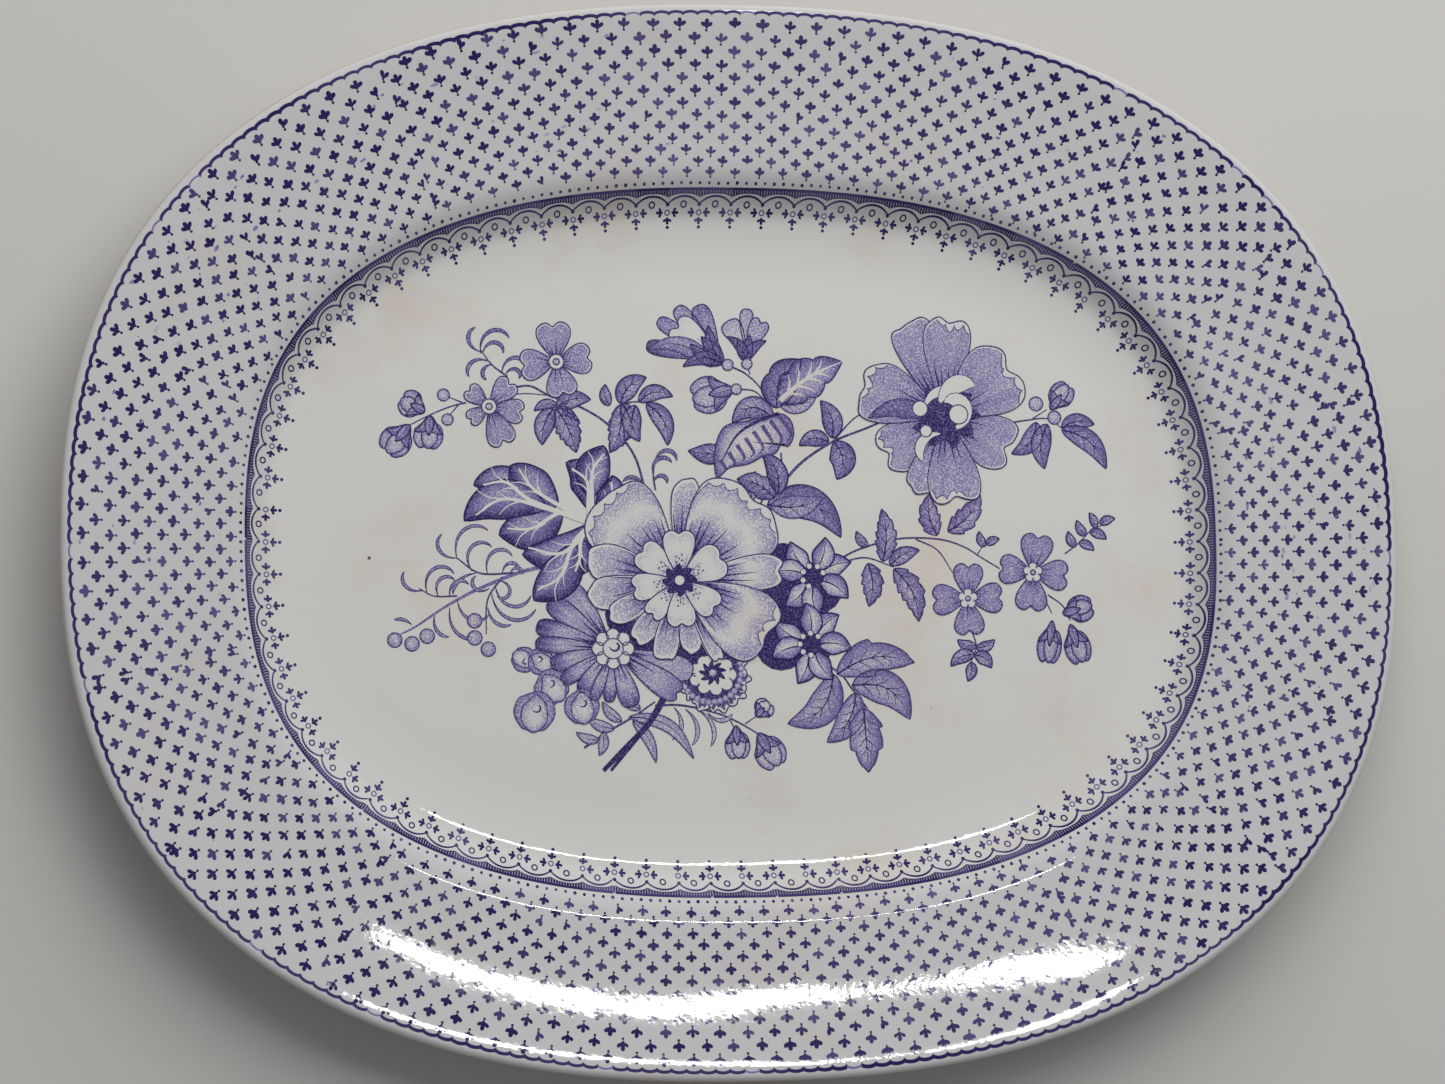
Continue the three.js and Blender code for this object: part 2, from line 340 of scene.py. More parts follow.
# ---- Glaze -------------------------------------------------------------------------------
# A clear lead glaze with a little cobalt in it, dipped over the printed biscuit and fired. It
# runs over the face, round the lip and down the back, and stops at the foot that was wiped dry.

GLAZE_THICKNESS = 0.35
GLAZE_FLATS = 512
GLAZE_IOR = 1.55
LIP_FLATS = 14
GLAZE_END_HEIGHT = BASE_HEIGHT * 0.42  # the wiped line on both sides of the foot

# The glaze's own ripple, the orange peel of a dipped and drained coat: waves about 7 mm long,
# with finer ones of 1.6 mm. The print under the same glaze carries the same ripple.
RIPPLE_LENGTHS = (7.0, 1.6)
RIPPLE_HEIGHTS = (0.011, 0.0058)


def add_ripple(tree):
    """The glaze's ripple, as a normal."""
    place = object_place(tree)
    normal = None
    for length, height in zip(RIPPLE_LENGTHS, RIPPLE_HEIGHTS):
        wave = noise(tree, place, length, detail=1.0, roughness=0.4)
        sockets = {"Height": wave, "Strength": 1.0, "Distance": height * MM}
        if normal:
            sockets["Normal"] = normal
        normal = add_node(tree, "Bump", sockets).outputs["Normal"]
    return normal


def add_white_ware(tree):
    """The colour of the glazed white ware: cool white, tan where fat has crept under it."""
    place = object_place(tree)
    drift = noise(tree, place, 60, detail=2.0)
    ware = blend(tree, drift, linear("#e1dfdb"), linear("#dddcdb"))
    stains = noise(tree, place, 34, detail=5.0, roughness=0.62)
    return blend(tree, remap(tree, stains, 0.54, 0.72, high=0.42), ware, linear("#d8c7b0"))


def add_glaze(tree, output, colour, roughness):
    """Finishes a material whose colour is seen through the clear glaze."""
    glaze = add_node(tree, "BsdfPrincipled", {"Base Color": colour, "Roughness": roughness,
                                              "IOR": GLAZE_IOR, "Normal": add_ripple(tree)})
    tree.links.new(glaze.outputs["BSDF"], output.inputs["Surface"])


glazed_ware, tree, output = new_material("lead_glaze_on_earthenware")
ware_colour = add_white_ware(tree)
# Under the close print of the rim the glaze took up a breath of violet in the fire.
haze = add_node(tree, "Attribute", attribute_name="print_haze").outputs["Fac"]
hazed = blend(tree, haze, ware_colour, linear("#c5c3cb"))
lip = add_node(tree, "Attribute", attribute_name="bare_lip").outputs["Fac"]
lip_tint = blend(tree, lip, hazed, linear("#bda899"))
place = object_place(tree)
speck_cells = add_node(tree, "TexVoronoi", {"Vector": place, "Scale": 1 / (13 * MM)})
speck = remap(tree, speck_cells.outputs["Distance"], 0.016, 0.026, 0.55, 0.0)
speck_colour = blend(tree, speck, lip_tint, linear("#6d6680"))
# Two larger specks: one of iron in the well, one of brown dust fired into the rim.
for speck_place, speck_size, speck_tint in (((-97, -4, FLOOR_HEIGHT), 0.55, "#2a2326"),
                                            ((5.4, 125, 22.4), 0.9, "#8a5f3a")):
    away = add_node(tree, "VectorMath", {0: place, 1: [part * MM for part in speck_place]},
                    operation="DISTANCE").outputs["Value"]
    near = remap(tree, away, 0.6 * speck_size * MM, speck_size * MM, 0.9, 0.0)
    speck_colour = blend(tree, near, speck_colour, linear(speck_tint))
add_glaze(tree, output, speck_colour, 0.035)

skin_insets = np.concatenate([np.linspace(FLOOR_INSET, COVE_INSET + 1, 18)[:-1],
                              np.linspace(COVE_INSET + 1, RIM_WIDTH - 3, 40)[:-1],
                              np.linspace(RIM_WIDTH - 3, LIP_RADIUS + 2, 14)[:-1],
                              np.linspace(LIP_RADIUS + 2, LIP_RADIUS, 5)])
lining_insets = np.concatenate([np.linspace(FLOOR_INSET, RIM_WIDTH - 2, 20)[:-1],
                                np.linspace(RIM_WIDTH - 2, LIP_RADIUS, 6)])
glaze_end = [FOOT_INSET + 0.5 * FOOT_TAPER, GLAZE_END_HEIGHT]
skin = np.vstack([face_path(skin_insets, 0.0), lip_path(0.0, LIP_FLATS),
                  underside_path(0.0, 22), [glaze_end]])
lining = np.vstack([face_path(lining_insets, GLAZE_THICKNESS), lip_path(GLAZE_THICKNESS, 8),
                    underside_path(GLAZE_THICKNESS, 12),
                    [[glaze_end[0] + GLAZE_THICKNESS, glaze_end[1]]]])
glaze_section = np.vstack([skin, lining[::-1]])
glaze_mesh = swept_mesh("glazed_ware", glaze_section, GLAZE_FLATS,
                        (FLOOR_HEIGHT, FLOOR_HEIGHT - GLAZE_THICKNESS))
# The glaze drew thin over the very edge of the lip in the fire, where the body shows warm.
bare = 0.85 * np.exp(-((glaze_section[:, 0] - 0.15) / 0.26) ** 2)
bare[glaze_section[:, 1] < LIP_TOP - 2.9 * LIP_RADIUS] = 0.0
# The back carries no print, so the haze fades out round the lip.
hazy = 0.52 * np.clip((COVE_INSET - glaze_section[:, 0]) / WALL_WIDTH, 0.0, 1.0)
lip_start = len(skin_insets)
hazy[lip_start:lip_start + LIP_FLATS] *= np.linspace(1.0, 0.0, LIP_FLATS)
hazy[lip_start + LIP_FLATS:] = 0.0
for attribute_name, shares in (("bare_lip", bare), ("print_haze", hazy)):
    attribute = glaze_mesh.attributes.new(attribute_name, "FLOAT", "POINT")
    attribute.data.foreach_set("value", np.append(np.repeat(shares, GLAZE_FLATS), [0.0, 0.0]))
add_piece("glazed_ware", glaze_mesh, ["glaze_coat"], glazed_ware)

base_corner = FOOT_INSET + FOOT_WIDTH
base_section = np.array([
    [base_corner + 2.5, BASE_HEIGHT + GLAZE_THICKNESS],
    [base_corner - GLAZE_THICKNESS, BASE_HEIGHT + GLAZE_THICKNESS],
    [base_corner - 0.5 * FOOT_TAPER - GLAZE_THICKNESS, GLAZE_END_HEIGHT],
    [base_corner - 0.5 * FOOT_TAPER, GLAZE_END_HEIGHT],
    [base_corner + 0.1, BASE_HEIGHT - FOOT_REACH], [base_corner + 0.7, BASE_HEIGHT - 0.2],
    [base_corner + 2.5, BASE_HEIGHT]])
base_mesh = swept_mesh("base_glaze_patch", base_section, 256,
                       (BASE_HEIGHT + GLAZE_THICKNESS, BASE_HEIGHT))
add_piece("base_glaze_patch", base_mesh, ["base_glaze"], glazed_ware)


# ---- Violet print ------------------------------------------------------------------------
# Ceramic colour ground in oil, inked on an engraved copper plate and pulled on tissue, which
# was rubbed down on the biscuit in pieces and soaked off. Each sheet is a film of colour.

INK_LIFT = 0.04  # clear of the glaze mesh, which stands for the film's place inside the glaze
PRINT_ROUGHNESS = 0.04  # the same gloss as the bare glaze, a little dulled by the ink


class Transfer:
    """A sheet of print in the making: points on the face, faces, and how dense the ink is."""

    def __init__(self):
        self.vertices, self.normals, self.density, self.faces = [], [], [], []
        self.count = 0

    def add(self, plan, height, normals, density, faces):
        plan = np.asarray(plan, float).reshape(-1, 2)
        height = np.broadcast_to(np.asarray(height, float), (len(plan),))
        self.vertices.append(np.column_stack([plan, height]))
        self.normals.append(np.broadcast_to(np.asarray(normals, float), (len(plan), 3)))
        self.density.append(np.broadcast_to(np.asarray(density, float), (len(plan),)))
        for face in faces:
            corners = plan[list(face)]
            area = np.dot(corners[:, 0], np.roll(corners[:, 1], -1)) \
                - np.dot(corners[:, 1], np.roll(corners[:, 0], -1))
            upward = face if area > 0 else face[::-1]
            self.faces.append(tuple(int(corner) + self.count for corner in upward))
        self.count += len(plan)

    def on_rim(self, step, inset, across, outwards, density, faces):
        """Adds a shape on the sloping face, given round a point of the oval at an inset."""
        point, outward = oval_at(step)
        tangent = np.stack([-outward[..., 1], outward[..., 0]], -1)
        reach = np.asarray(inset) - outwards
        plan = point - outward * reach[..., None] + tangent * np.asarray(across)[..., None]
        slope = face_slope(reach)
        length = np.hypot(slope, 1.0)
        normals = np.column_stack([-outward * (slope / length)[:, None], 1 / length])
        self.add(plan, face_height(reach) + INK_LIFT, normals, density, faces)

    def spot(self, step, inset, across, outwards, density):
        """Adds one small closed shape round a point of the oval at an inset."""
        count = len(across)
        self.on_rim(np.full(count, float(step)), np.full(count, inset), across, outwards,
                    density, [tuple(range(count))])

    def mesh(self, name):
        made = bpy.data.meshes.new(name)
        vertices = np.vstack(self.vertices) * MM
        made.from_pydata(vertices.tolist(), [], self.faces)
        ink = made.attributes.new("ink", "FLOAT", "POINT")
        ink.data.foreach_set("value", np.concatenate(self.density))
        made.polygons.foreach_set("use_smooth", [True] * len(made.polygons))
        made.normals_split_custom_set_from_vertices(np.vstack(self.normals).tolist())
        made.update()
        return made


def strip_faces(length, closed=False, start=0):
    """Quads between two rows of points that are stored one row after the other."""
    last = length if closed else length - 1
    return [(start + place, start + (place + 1) % length,
             start + length + (place + 1) % length, start + length + place)
            for place in range(last)]


def grid_faces(rows, columns):
    """Quads between many open rows of points that are stored one row after the other."""
    faces = []
    for row in range(rows - 1):
        faces += strip_faces(columns, start=row * columns)
    return faces


def add_printed_ware(tree, coverage):
    """The colour of the ware under a coverage of ink: white, then lavender, then full violet."""
    patchy = noise(tree, object_place(tree), 9, detail=4.0, roughness=0.6)
    full = blend(tree, patchy, linear("#1d104f"), linear("#2a1d63"))
    thin = remap(tree, coverage, 0.0, 0.5)
    thick = remap(tree, coverage, 0.5, 1.0)
    lavender = blend(tree, thin, add_white_ware(tree), linear("#8b7fb8"))
    return blend(tree, thick, lavender, full)


# The print under the glaze: violet, patchy where the ink was thin, and bled a little into the
# glaze, so that thin ink is lavender and faint print is nearly the white of the ware.
violet_print, tree, output = new_material("violet_underglaze_print")
ink = add_node(tree, "Attribute", attribute_name="ink").outputs["Fac"]
add_glaze(tree, output, add_printed_ware(tree, ink), PRINT_ROUGHNESS)

chance = random.Random(1860)


# ---- Edge line ---------------------------------------------------------------------------
# The outermost transfer: one solid line of small scallops, 3.85 mm each, laid 2.75 mm in from
# the edge in several lengths, so it wanders, thins and breaks where the lengths meet.

EDGE_LINE_INSET = 2.75
SCALLOP_PITCH = 3.85
SCALLOP_DEPTH = 0.8
SCALLOP_ROUND = 0.92  # 1 would make each scallop a half oval
SCALLOP_MEAN = 0.62  # taken off, so that the line keeps its inset
EDGE_LINE_WIDTH = 0.92
CUSP_SWELL = 0.35  # how much wider the line is where scallops meet
EDGE_POINTS = 12

edge_line = Transfer()
edge_girth = girth(EDGE_LINE_INSET)
edge_count = round(edge_girth / SCALLOP_PITCH)
wander = [chance.uniform(-0.3, 0.3) for knot in range(24)]
thickness = [chance.uniform(0.72, 1.2) for knot in range(40)]
gaps = {chance.randrange(edge_count) for gap in range(16)}
for scallop in range(edge_count):
    share = (scallop + np.linspace(0.0, 1.0, EDGE_POINTS)) / edge_count
    arc = np.linspace(-1.0, 1.0, EDGE_POINTS)
    step = steps_along(EDGE_LINE_INSET, share * edge_girth)
    drift = np.interp(share * len(wander), np.arange(len(wander) + 1), wander + wander[:1])
    heavy = np.interp(share * len(thickness), np.arange(len(thickness) + 1),
                      thickness + thickness[:1])
    bow = np.sqrt(1.0 - SCALLOP_ROUND * arc ** 2) - SCALLOP_MEAN
    outwards = SCALLOP_DEPTH * bow + drift * 0.8
    half = EDGE_LINE_WIDTH / 2 * heavy * (1.0 + CUSP_SWELL * np.abs(arc) ** 5)
    density = np.clip(0.88 + 0.35 * (heavy - 0.72), 0.0, 1.0)
    if scallop in gaps:
        half = half * 0.55
        density = density * 0.6
    edge_line.on_rim(np.tile(step, 2), np.full(2 * EDGE_POINTS, EDGE_LINE_INSET),
                     np.zeros(2 * EDGE_POINTS), np.concatenate([outwards - half, outwards + half]),
                     np.tile(density, 2), strip_faces(EDGE_POINTS))
add_piece("edge_line", edge_line.mesh("edge_line"), ["edge_line_print"],
          violet_print)


# ---- Rim sprigs --------------------------------------------------------------------------
# The all-over ground of the rim: rows of small three-lobed sprigs, each with a dot under it.
# It came in flat strips, fanned a little, so at the corners the strips meet in wedge cuts.

SPRIG_COLUMN_PITCH = 7.5
SPRIG_FAN_RADIUS = 315.0
SPRIG_ROWS = 13
FIRST_ROW_INSET = 6.0
LAST_ROW_INSET = 44.2
LAST_SPRIG_SIZE = 0.82
WEDGE_TURN = math.radians(15.0)
SECTORS = 12
FIELD_START = 3.9  # no sprig lies nearer to the edge
FIELD_END = 45.6  # or farther in
FIRST_JOIN = 0.37  # where the first join falls, as a share of a strip
LEAF_LOBE_HALF = 28.5  # degrees from the middle of a lobe to its side
HAND_WOBBLE = 0.13  # how far a sprig strays from its place
LOST_LOBE = 0.3  # what is left of a lobe that a cut or a bare spot took
SPRIG_DOT, SPRIG_DOT_DROP = 0.36, 1.32


def sprig_outline(reach, spread, fatness):
    """A three-lobed leaf opening outwards: across, outwards, round its foot at the origin."""
    angle = np.linspace(0.0, 2.0 * math.pi, 56, endpoint=False)
    radius = np.full(angle.shape, 0.34 * fatness)
    for lobe, length in zip((-spread, 0.0, spread), reach):
        off = np.abs((angle - lobe + math.pi) % (2.0 * math.pi) - math.pi)
        bent = np.minimum(off * 90.0 / (LEAF_LOBE_HALF * fatness), math.pi / 2)
        petal = np.clip(np.cos(bent), 0.0, 1.0)
        radius = np.maximum(radius, length * petal ** 0.42)
    return radius * np.sin(angle), radius * np.cos(angle)


def round_dot(radius, points=9):
    angle = np.linspace(0.0, 2.0 * math.pi, points, endpoint=False)
    return radius * np.cos(angle), radius * np.sin(angle)


def inset_step(plan):
    """The step of the oval nearest to a plan point, and how far inside the edge the point is."""
    distance = np.linalg.norm(OVAL_POINTS - plan, axis=1)
    step = int(distance.argmin())
    return step, float(((OVAL_POINTS[step] - plan) * OVAL_OUTWARD[step]).sum())


# The strips end where the rim has turned 15 degrees more than the fan of a strip allows for.
turned = np.unwrap(np.arctan2(OVAL_OUTWARD[:, 1], OVAL_OUTWARD[:, 0]))
step_length = girth(0.0) / OVAL_STEPS
excess = np.maximum(np.gradient(turned) - step_length / SPRIG_FAN_RADIUS, 0.0)
wedge_count = round(float(excess.sum()) / WEDGE_TURN)
joins = np.searchsorted(np.cumsum(excess) / excess.sum() * wedge_count,
                        np.arange(wedge_count) + FIRST_JOIN)
two_laps = np.concatenate([turned, turned + 2 * math.pi])
lap_steps = np.arange(2 * OVAL_STEPS)
sprig_sheets = [Transfer() for sector in range(SECTORS)]
fading = [chance.uniform(0.84, 1.0) for knot in range(18)]

for strip in range(wedge_count):
    start, end = joins[strip], joins[(strip + 1) % wedge_count]
    end += OVAL_STEPS if end <= start else 0
    span = (end - start) * step_length
    middle = (start + end) / 2
    to_first, to_last = oval_at(start), oval_at(end)
    middle_turn = math.atan2(*oval_at(middle)[1][::-1])
    real_turn = np.interp(end, lap_steps, two_laps) - np.interp(start, lap_steps, two_laps)
    fan = min(span / SPRIG_FAN_RADIUS, real_turn)
    slip = chance.uniform(-0.5, 0.5)
    tilt = chance.uniform(-0.03, 0.03)
    drop = chance.uniform(-0.35, 0.35)
    columns = int(span / SPRIG_COLUMN_PITCH / 2) + 2
    for row in range(SPRIG_ROWS):
        depth = row / (SPRIG_ROWS - 1)
        inset = FIRST_ROW_INSET + (LAST_ROW_INSET - FIRST_ROW_INSET) \
            * (1.13 * depth - 0.13 * depth ** 2)
        size = 1.0 + (LAST_SPRIG_SIZE - 1.0) * depth
        for column in range(-columns, columns + 1):
            along = (column + 0.5 * (row % 2) + slip) * SPRIG_COLUMN_PITCH
            if abs(along) > span / 2 + 4.0:
                continue
            edge_point, edge_outward = oval_at(middle + along / step_length)
            lean = middle_turn + fan * along / span
            leaning = np.array([math.cos(lean), math.sin(lean)])
            reach = (inset + drop + tilt * along) / max(0.5, float(leaning @ edge_outward))
            wobble = np.array([chance.gauss(0.0, HAND_WOBBLE), chance.gauss(0.0, HAND_WOBBLE)])
            plan = edge_point - leaning * reach + wobble
            inside_first = (plan - to_first[0]) @ np.array([-to_first[1][1], to_first[1][0]])
            inside_last = (to_last[0] - plan) @ np.array([-to_last[1][1], to_last[1][0]])
            room = min(inside_first, inside_last)
            if room < -0.5:
                continue
            step, true_inset = inset_step(plan)
            if not FIELD_START < true_inset < FIELD_END:
                continue
            turn = lean - math.atan2(*OVAL_OUTWARD[step][::-1]) + chance.gauss(0.0, 0.05)
            fade = np.interp(step / OVAL_STEPS * len(fading), np.arange(len(fading) + 1),
                             fading + fading[:1])
            density = min(1.0, fade * chance.choice((1.0, 1.0, 1.0, 0.97, 0.94, 0.86))
                          + 0.06 * (1.0 - depth))
            fatness = chance.uniform(0.95, 1.15)
            lobes = [chance.uniform(1.85, 2.2), chance.uniform(2.15, 2.5),
                     chance.uniform(1.85, 2.2)]
            if room < 1.2 or chance.random() < 0.035:
                lobes[chance.choice((0, 2))] = LOST_LOBE
            across, outwards = sprig_outline(lobes, chance.uniform(0.84, 0.95), fatness)
            sheet = sprig_sheets[step * SECTORS // OVAL_STEPS]
            shapes = [(across, outwards - 0.5)]
            if chance.random() > 0.04:
                dot_x, dot_y = round_dot(SPRIG_DOT * fatness ** 0.5)
                shapes.append((dot_x + chance.gauss(0, 0.05), dot_y - SPRIG_DOT_DROP))
            if chance.random() < 0.6:
                shapes.append((np.array([-0.14, 0.14, 0.14, -0.14]),
                               np.array([-1.2, -1.2, -0.4, -0.4])))
            for shape_x, shape_y in shapes:
                turned_x = (shape_x * math.cos(turn) - shape_y * math.sin(turn)) * size
                turned_y = (shape_x * math.sin(turn) + shape_y * math.cos(turn)) * size
                sheet.spot(step, true_inset, turned_x, turned_y, density)

# Ink that had crept past the plate's cuts or was dragged when the tissue slid on the biscuit.
# It gathers in a few places round the rim, given as shares of a lap.
SMUDGES = 130
SMUDGE_CORNERS = 8
SMUDGED_PLACES = (0.36, 0.40, 0.45, 0.52, 0.30, 0.985, 0.02, 0.17)
for smudge in range(SMUDGES):
    place = chance.choice(SMUDGED_PLACES) + chance.gauss(0.0, 0.022)
    step = place % 1.0 * OVAL_STEPS
    inset = max(5.0, chance.uniform(3.0, 40.0))
    dot_x, dot_y = round_dot(1.0, SMUDGE_CORNERS)
    size = chance.uniform(0.2, 0.55)
    ragged = np.array([chance.uniform(0.5, 1.2) for corner in range(SMUDGE_CORNERS)])
    dot_x = dot_x * ragged * size * chance.uniform(1.0, 2.6)
    dot_y = dot_y * ragged * size
    sprig_sheets[int(step) * SECTORS // OVAL_STEPS].spot(step, inset, dot_x, dot_y,
                                                         chance.uniform(0.18, 0.6))

for sector, sheet in enumerate(sprig_sheets):
    name = f"rim_sprigs_{sector + 1:02d}"
    add_piece(name, sheet.mesh(name), ["rim_sprig_print"], violet_print)


# ---- Verge border ------------------------------------------------------------------------
# The border that hides where rim sheet and well meet: a row of dots, a hatched band, a line
# of scallops hung from it, and under these rings and little clovers. It lies on the well's wall.

VERGE_INSET = 47.6
SCALLOP_INSET = VERGE_INSET + 3.0  # the line along which the scallops are spaced
KNOB_INSET = VERGE_INSET + 3.85  # the knob on each cusp and the ring in each scallop
CLOVER_INSET = VERGE_INSET + 5.8  # the ring that the three clovers stand round
VERGE_SCALLOPS = 84
SCALLOP_POINTS = 25
SOLID_LINE = 0.65
STROKE_PITCH = 0.73
STROKE_START = 0.36  # inside the solid line
BAND_WIDTH, BAND_SWELL = 1.4, 0.85  # the hatched band in mid scallop, and more at the cusps
LINE_DROP, LINE_SWELL = 1.98, 1.75  # the same for the scalloped line
LINE_HALF = 0.26
CLOVER_REACH = 1.5  # from the middle of the ring to the foot of a clover
DOT_ROW_INSET = 46.55
DOT_PITCH = 2.5
VERGE_SECTORS = 8

verge_sheets = [Transfer() for sector in range(VERGE_SECTORS)]
scallop_length = girth(SCALLOP_INSET) / VERGE_SCALLOPS


def verge_sheet(step):
    return verge_sheets[int(step % OVAL_STEPS) * VERGE_SECTORS // OVAL_STEPS]


def verge_ribbon(step, outer_inset, inner_inset, density, split=1):
    """A ribbon between two insets along steps; across, it is divided so as to hug the wall."""
    count = len(step)
    rows = [outer_inset + (inner_inset - outer_inset) * row / split
            for row in range(split + 1)]
    inset = np.concatenate([np.broadcast_to(row, (count,)) for row in rows])
    verge_sheet(step[count // 2]).on_rim(np.tile(step, split + 1), inset, np.zeros(len(inset)),
                                         np.zeros(len(inset)), density,
                                         grid_faces(split + 1, count))


def verge_shape(step, inset, across, outwards, density, ring_width=None):
    """A small closed shape, or the ring of its outline, on the wall or floor of the well."""
    if ring_width is None:
        verge_sheet(step).spot(step, inset, across, outwards, density)
        return
    count = len(across)
    scale = 1.0 - ring_width / np.hypot(across, outwards)
    verge_sheet(step).on_rim(np.full(2 * count, step), np.full(2 * count, inset),
                             np.concatenate([across * scale, across]),
                             np.concatenate([outwards * scale, outwards]), density,
                             strip_faces(count, closed=True))


clover_across, clover_ahead = sprig_outline((1.35, 1.55, 1.35), 1.0, 1.05)
for dot in range(round(girth(DOT_ROW_INSET) / DOT_PITCH)):
    step = float(steps_along(DOT_ROW_INSET, [dot * DOT_PITCH])[0])
    dot_x, dot_y = round_dot(0.44 * chance.uniform(0.85, 1.12))
    verge_shape(step, DOT_ROW_INSET + chance.gauss(0.0, 0.05), dot_x, dot_y,
                chance.uniform(0.8, 1.0))

for scallop in range(VERGE_SCALLOPS):
    first = scallop * scallop_length
    seam = chance.random() < 0.05
    drawn_length = scallop_length * (0.93 if seam else 1.0)
    along = first + np.linspace(0.0, 1.0, SCALLOP_POINTS) * drawn_length
    step = steps_along(SCALLOP_INSET, along)
    arc = np.linspace(-1.0, 1.0, SCALLOP_POINTS)
    tone = chance.uniform(0.86, 1.0)
    bulge = np.abs(arc) ** 2.2
    verge_ribbon(step, np.full(SCALLOP_POINTS, VERGE_INSET),
                 np.full(SCALLOP_POINTS, VERGE_INSET + SOLID_LINE), tone)
    band_end = VERGE_INSET + BAND_WIDTH + BAND_SWELL * np.abs(arc) ** 2.5
    # Between the solid line and the band's edge the plate is cut in strokes, light between dark.
    strokes = round(scallop_length / STROKE_PITCH)
    for stroke in range(strokes):
        share = (stroke + np.array([0.08, 0.9])) / strokes
        stroke_step = steps_along(SCALLOP_INSET, first + share * scallop_length)
        verge_ribbon(stroke_step, np.full(2, VERGE_INSET + STROKE_START),
                     np.interp(share * 2 - 1, arc, band_end), tone, split=2)
    verge_ribbon(step, band_end - 0.25, band_end, tone)
    line = VERGE_INSET + LINE_DROP + LINE_SWELL * bulge
    verge_ribbon(step, line - LINE_HALF, line + LINE_HALF, tone)
    arc_middle, cusp = float(step[SCALLOP_POINTS // 2]), float(step[0])
    verge_shape(cusp, KNOB_INSET, *round_dot(0.5), tone)
    verge_shape(arc_middle, KNOB_INSET + chance.gauss(0, 0.06), *round_dot(0.9, 20), tone,
                ring_width=0.38)
    verge_shape(cusp, CLOVER_INSET, *round_dot(0.78, 18), tone * 0.8, ring_width=0.32)
    for bearing in (0.0, 0.5 * math.pi, math.pi):
        if seam and bearing == 0.0:
            continue
        ahead_x, ahead_y = -math.cos(bearing), -math.sin(bearing)
        ahead = clover_ahead + CLOVER_REACH
        verge_shape(cusp, CLOVER_INSET, clover_across * ahead_y + ahead * ahead_x,
                    ahead * ahead_y - clover_across * ahead_x, tone)
    dot_x, dot_y = round_dot(0.46)
    verge_shape(cusp, CLOVER_INSET, dot_x, dot_y - 3.75, tone)

for sector, sheet in enumerate(verge_sheets):
    name = f"verge_border_{sector + 1}"
    add_piece(name, sheet.mesh(name), ["verge_print"], violet_print)


# ---- Engraver's strokes ------------------------------------------------------------------
# The bouquet is engraved: outlines and veins in cut lines, the tones between in stipple. The
# few shapes below draw it, in millimetres on the flat floor of the well, one over another.

LAYER_STEP = 0.004  # one layer of the drawing above the next, in millimetres
SHAPE_STEP = 0.0003  # and one shape above the last, so that no two lie in the same plane
OUTLINE = 0.36
BALL_SIDES = 16
PETAL_ROWS, PETAL_RAYS = 11, 61
CURLED_POINTS = 97
BLADE_ROWS, BLADE_COLUMNS = 31, 9


def flat(sheet, plan, density, faces, layer):
    rise = layer * LAYER_STEP + len(sheet.vertices) * SHAPE_STEP
    sheet.add(plan, FLOOR_HEIGHT + INK_LIFT + rise, (0.0, 0.0, 1.0), density, faces)


def smooth_path(points, per_span=7):
    """A smooth curve through plan points."""
    points = np.asarray(points, float)
    padded = np.vstack([2 * points[0] - points[1], points, 2 * points[-1] - points[-2]])
    share = np.linspace(0.0, 1.0, per_span, endpoint=False)[:, None]
    curve = []
    for place in range(len(points) - 1):
        before, start, end, after = padded[place:place + 4]
        curve.append(start + share * (end - before) / 2
                     + share ** 2 * (before - 2.5 * start + 2 * end - after / 2)
                     + share ** 3 * (1.5 * start - before / 2 - 1.5 * end + after / 2))
    return np.vstack(curve + [points[-1:]])


def ribbon(sheet, path, half, ink, layer, closed=False):
    """A band of ink along a path, half as wide as given to each side."""
    if closed:
        path = np.vstack([path[-1:], path, path[:1]])
    along = np.gradient(path, axis=0)
    if closed:
        path, along = path[1:-1], along[1:-1]
    side = np.stack([-along[:, 1], along[:, 0]], 1)
    side = side / np.maximum(np.linalg.norm(side, axis=1), 1e-9)[:, None]
    reach = side * np.broadcast_to(half, (len(path),))[:, None]
    flat(sheet, np.vstack([path - reach, path + reach]), ink,
         strip_faces(len(path), closed), layer)


def stem(sheet, points, width, layer, ink=0.9, end=0.6):
    path = smooth_path(points)
    ribbon(sheet, path, width / 2 * np.linspace(1.0, end, len(path)), ink, layer)


def stems(sheet, rows, layer=0):
    """Stems, each given by its points and its width."""
    for points, width in rows:
        stem(sheet, points, width, layer)


def curl(sheet, root, heading, length, turn, layer, width=0.95, ink=0.62):
    """A tendril: an arc that swells in the middle and ends in a point."""
    share = np.linspace(0.0, 1.0, 16)
    angle = math.radians(heading) + math.radians(turn) * share ** 1.3
    steps = np.stack([np.cos(angle), np.sin(angle)], 1) * length / 15
    path = np.asarray(root) + np.vstack([[0.0, 0.0], np.cumsum(steps, 0)[:-1]])
    swell = np.sin(math.pi * share ** 1.5) ** 0.8
    ribbon(sheet, path, 0.12 + width / 2 * swell, 0.9, layer)
    ribbon(sheet, path[2:], (width / 2 * swell - 0.14).clip(0.0)[2:], ink, layer + 1)


def curls(sheet, rows, layer, width=0.95, ink=0.62):
    """Tendrils, each given by its root, heading, length and turn."""
    for row in rows:
        curl(sheet, *row, layer, width, ink)


def round_about(centre, count, across, along, first=0.0):
    """Plan points spaced evenly round a centre, on a circle or an oval."""
    for place in range(count):
        bearing = 2 * math.pi * place / count + first
        yield centre[0] + across * math.cos(bearing), centre[1] + along * math.sin(bearing)


def dome_faces(rings, count):
    """Faces of closed rings stored from the outside in, filled at a last point in the middle."""
    faces = []
    for ring in range(rings - 1):
        faces += strip_faces(count, True, start=ring * count)
    inner = (rings - 1) * count
    return faces + [(inner + place, inner + (place + 1) % count, inner + count)
                    for place in range(count)]


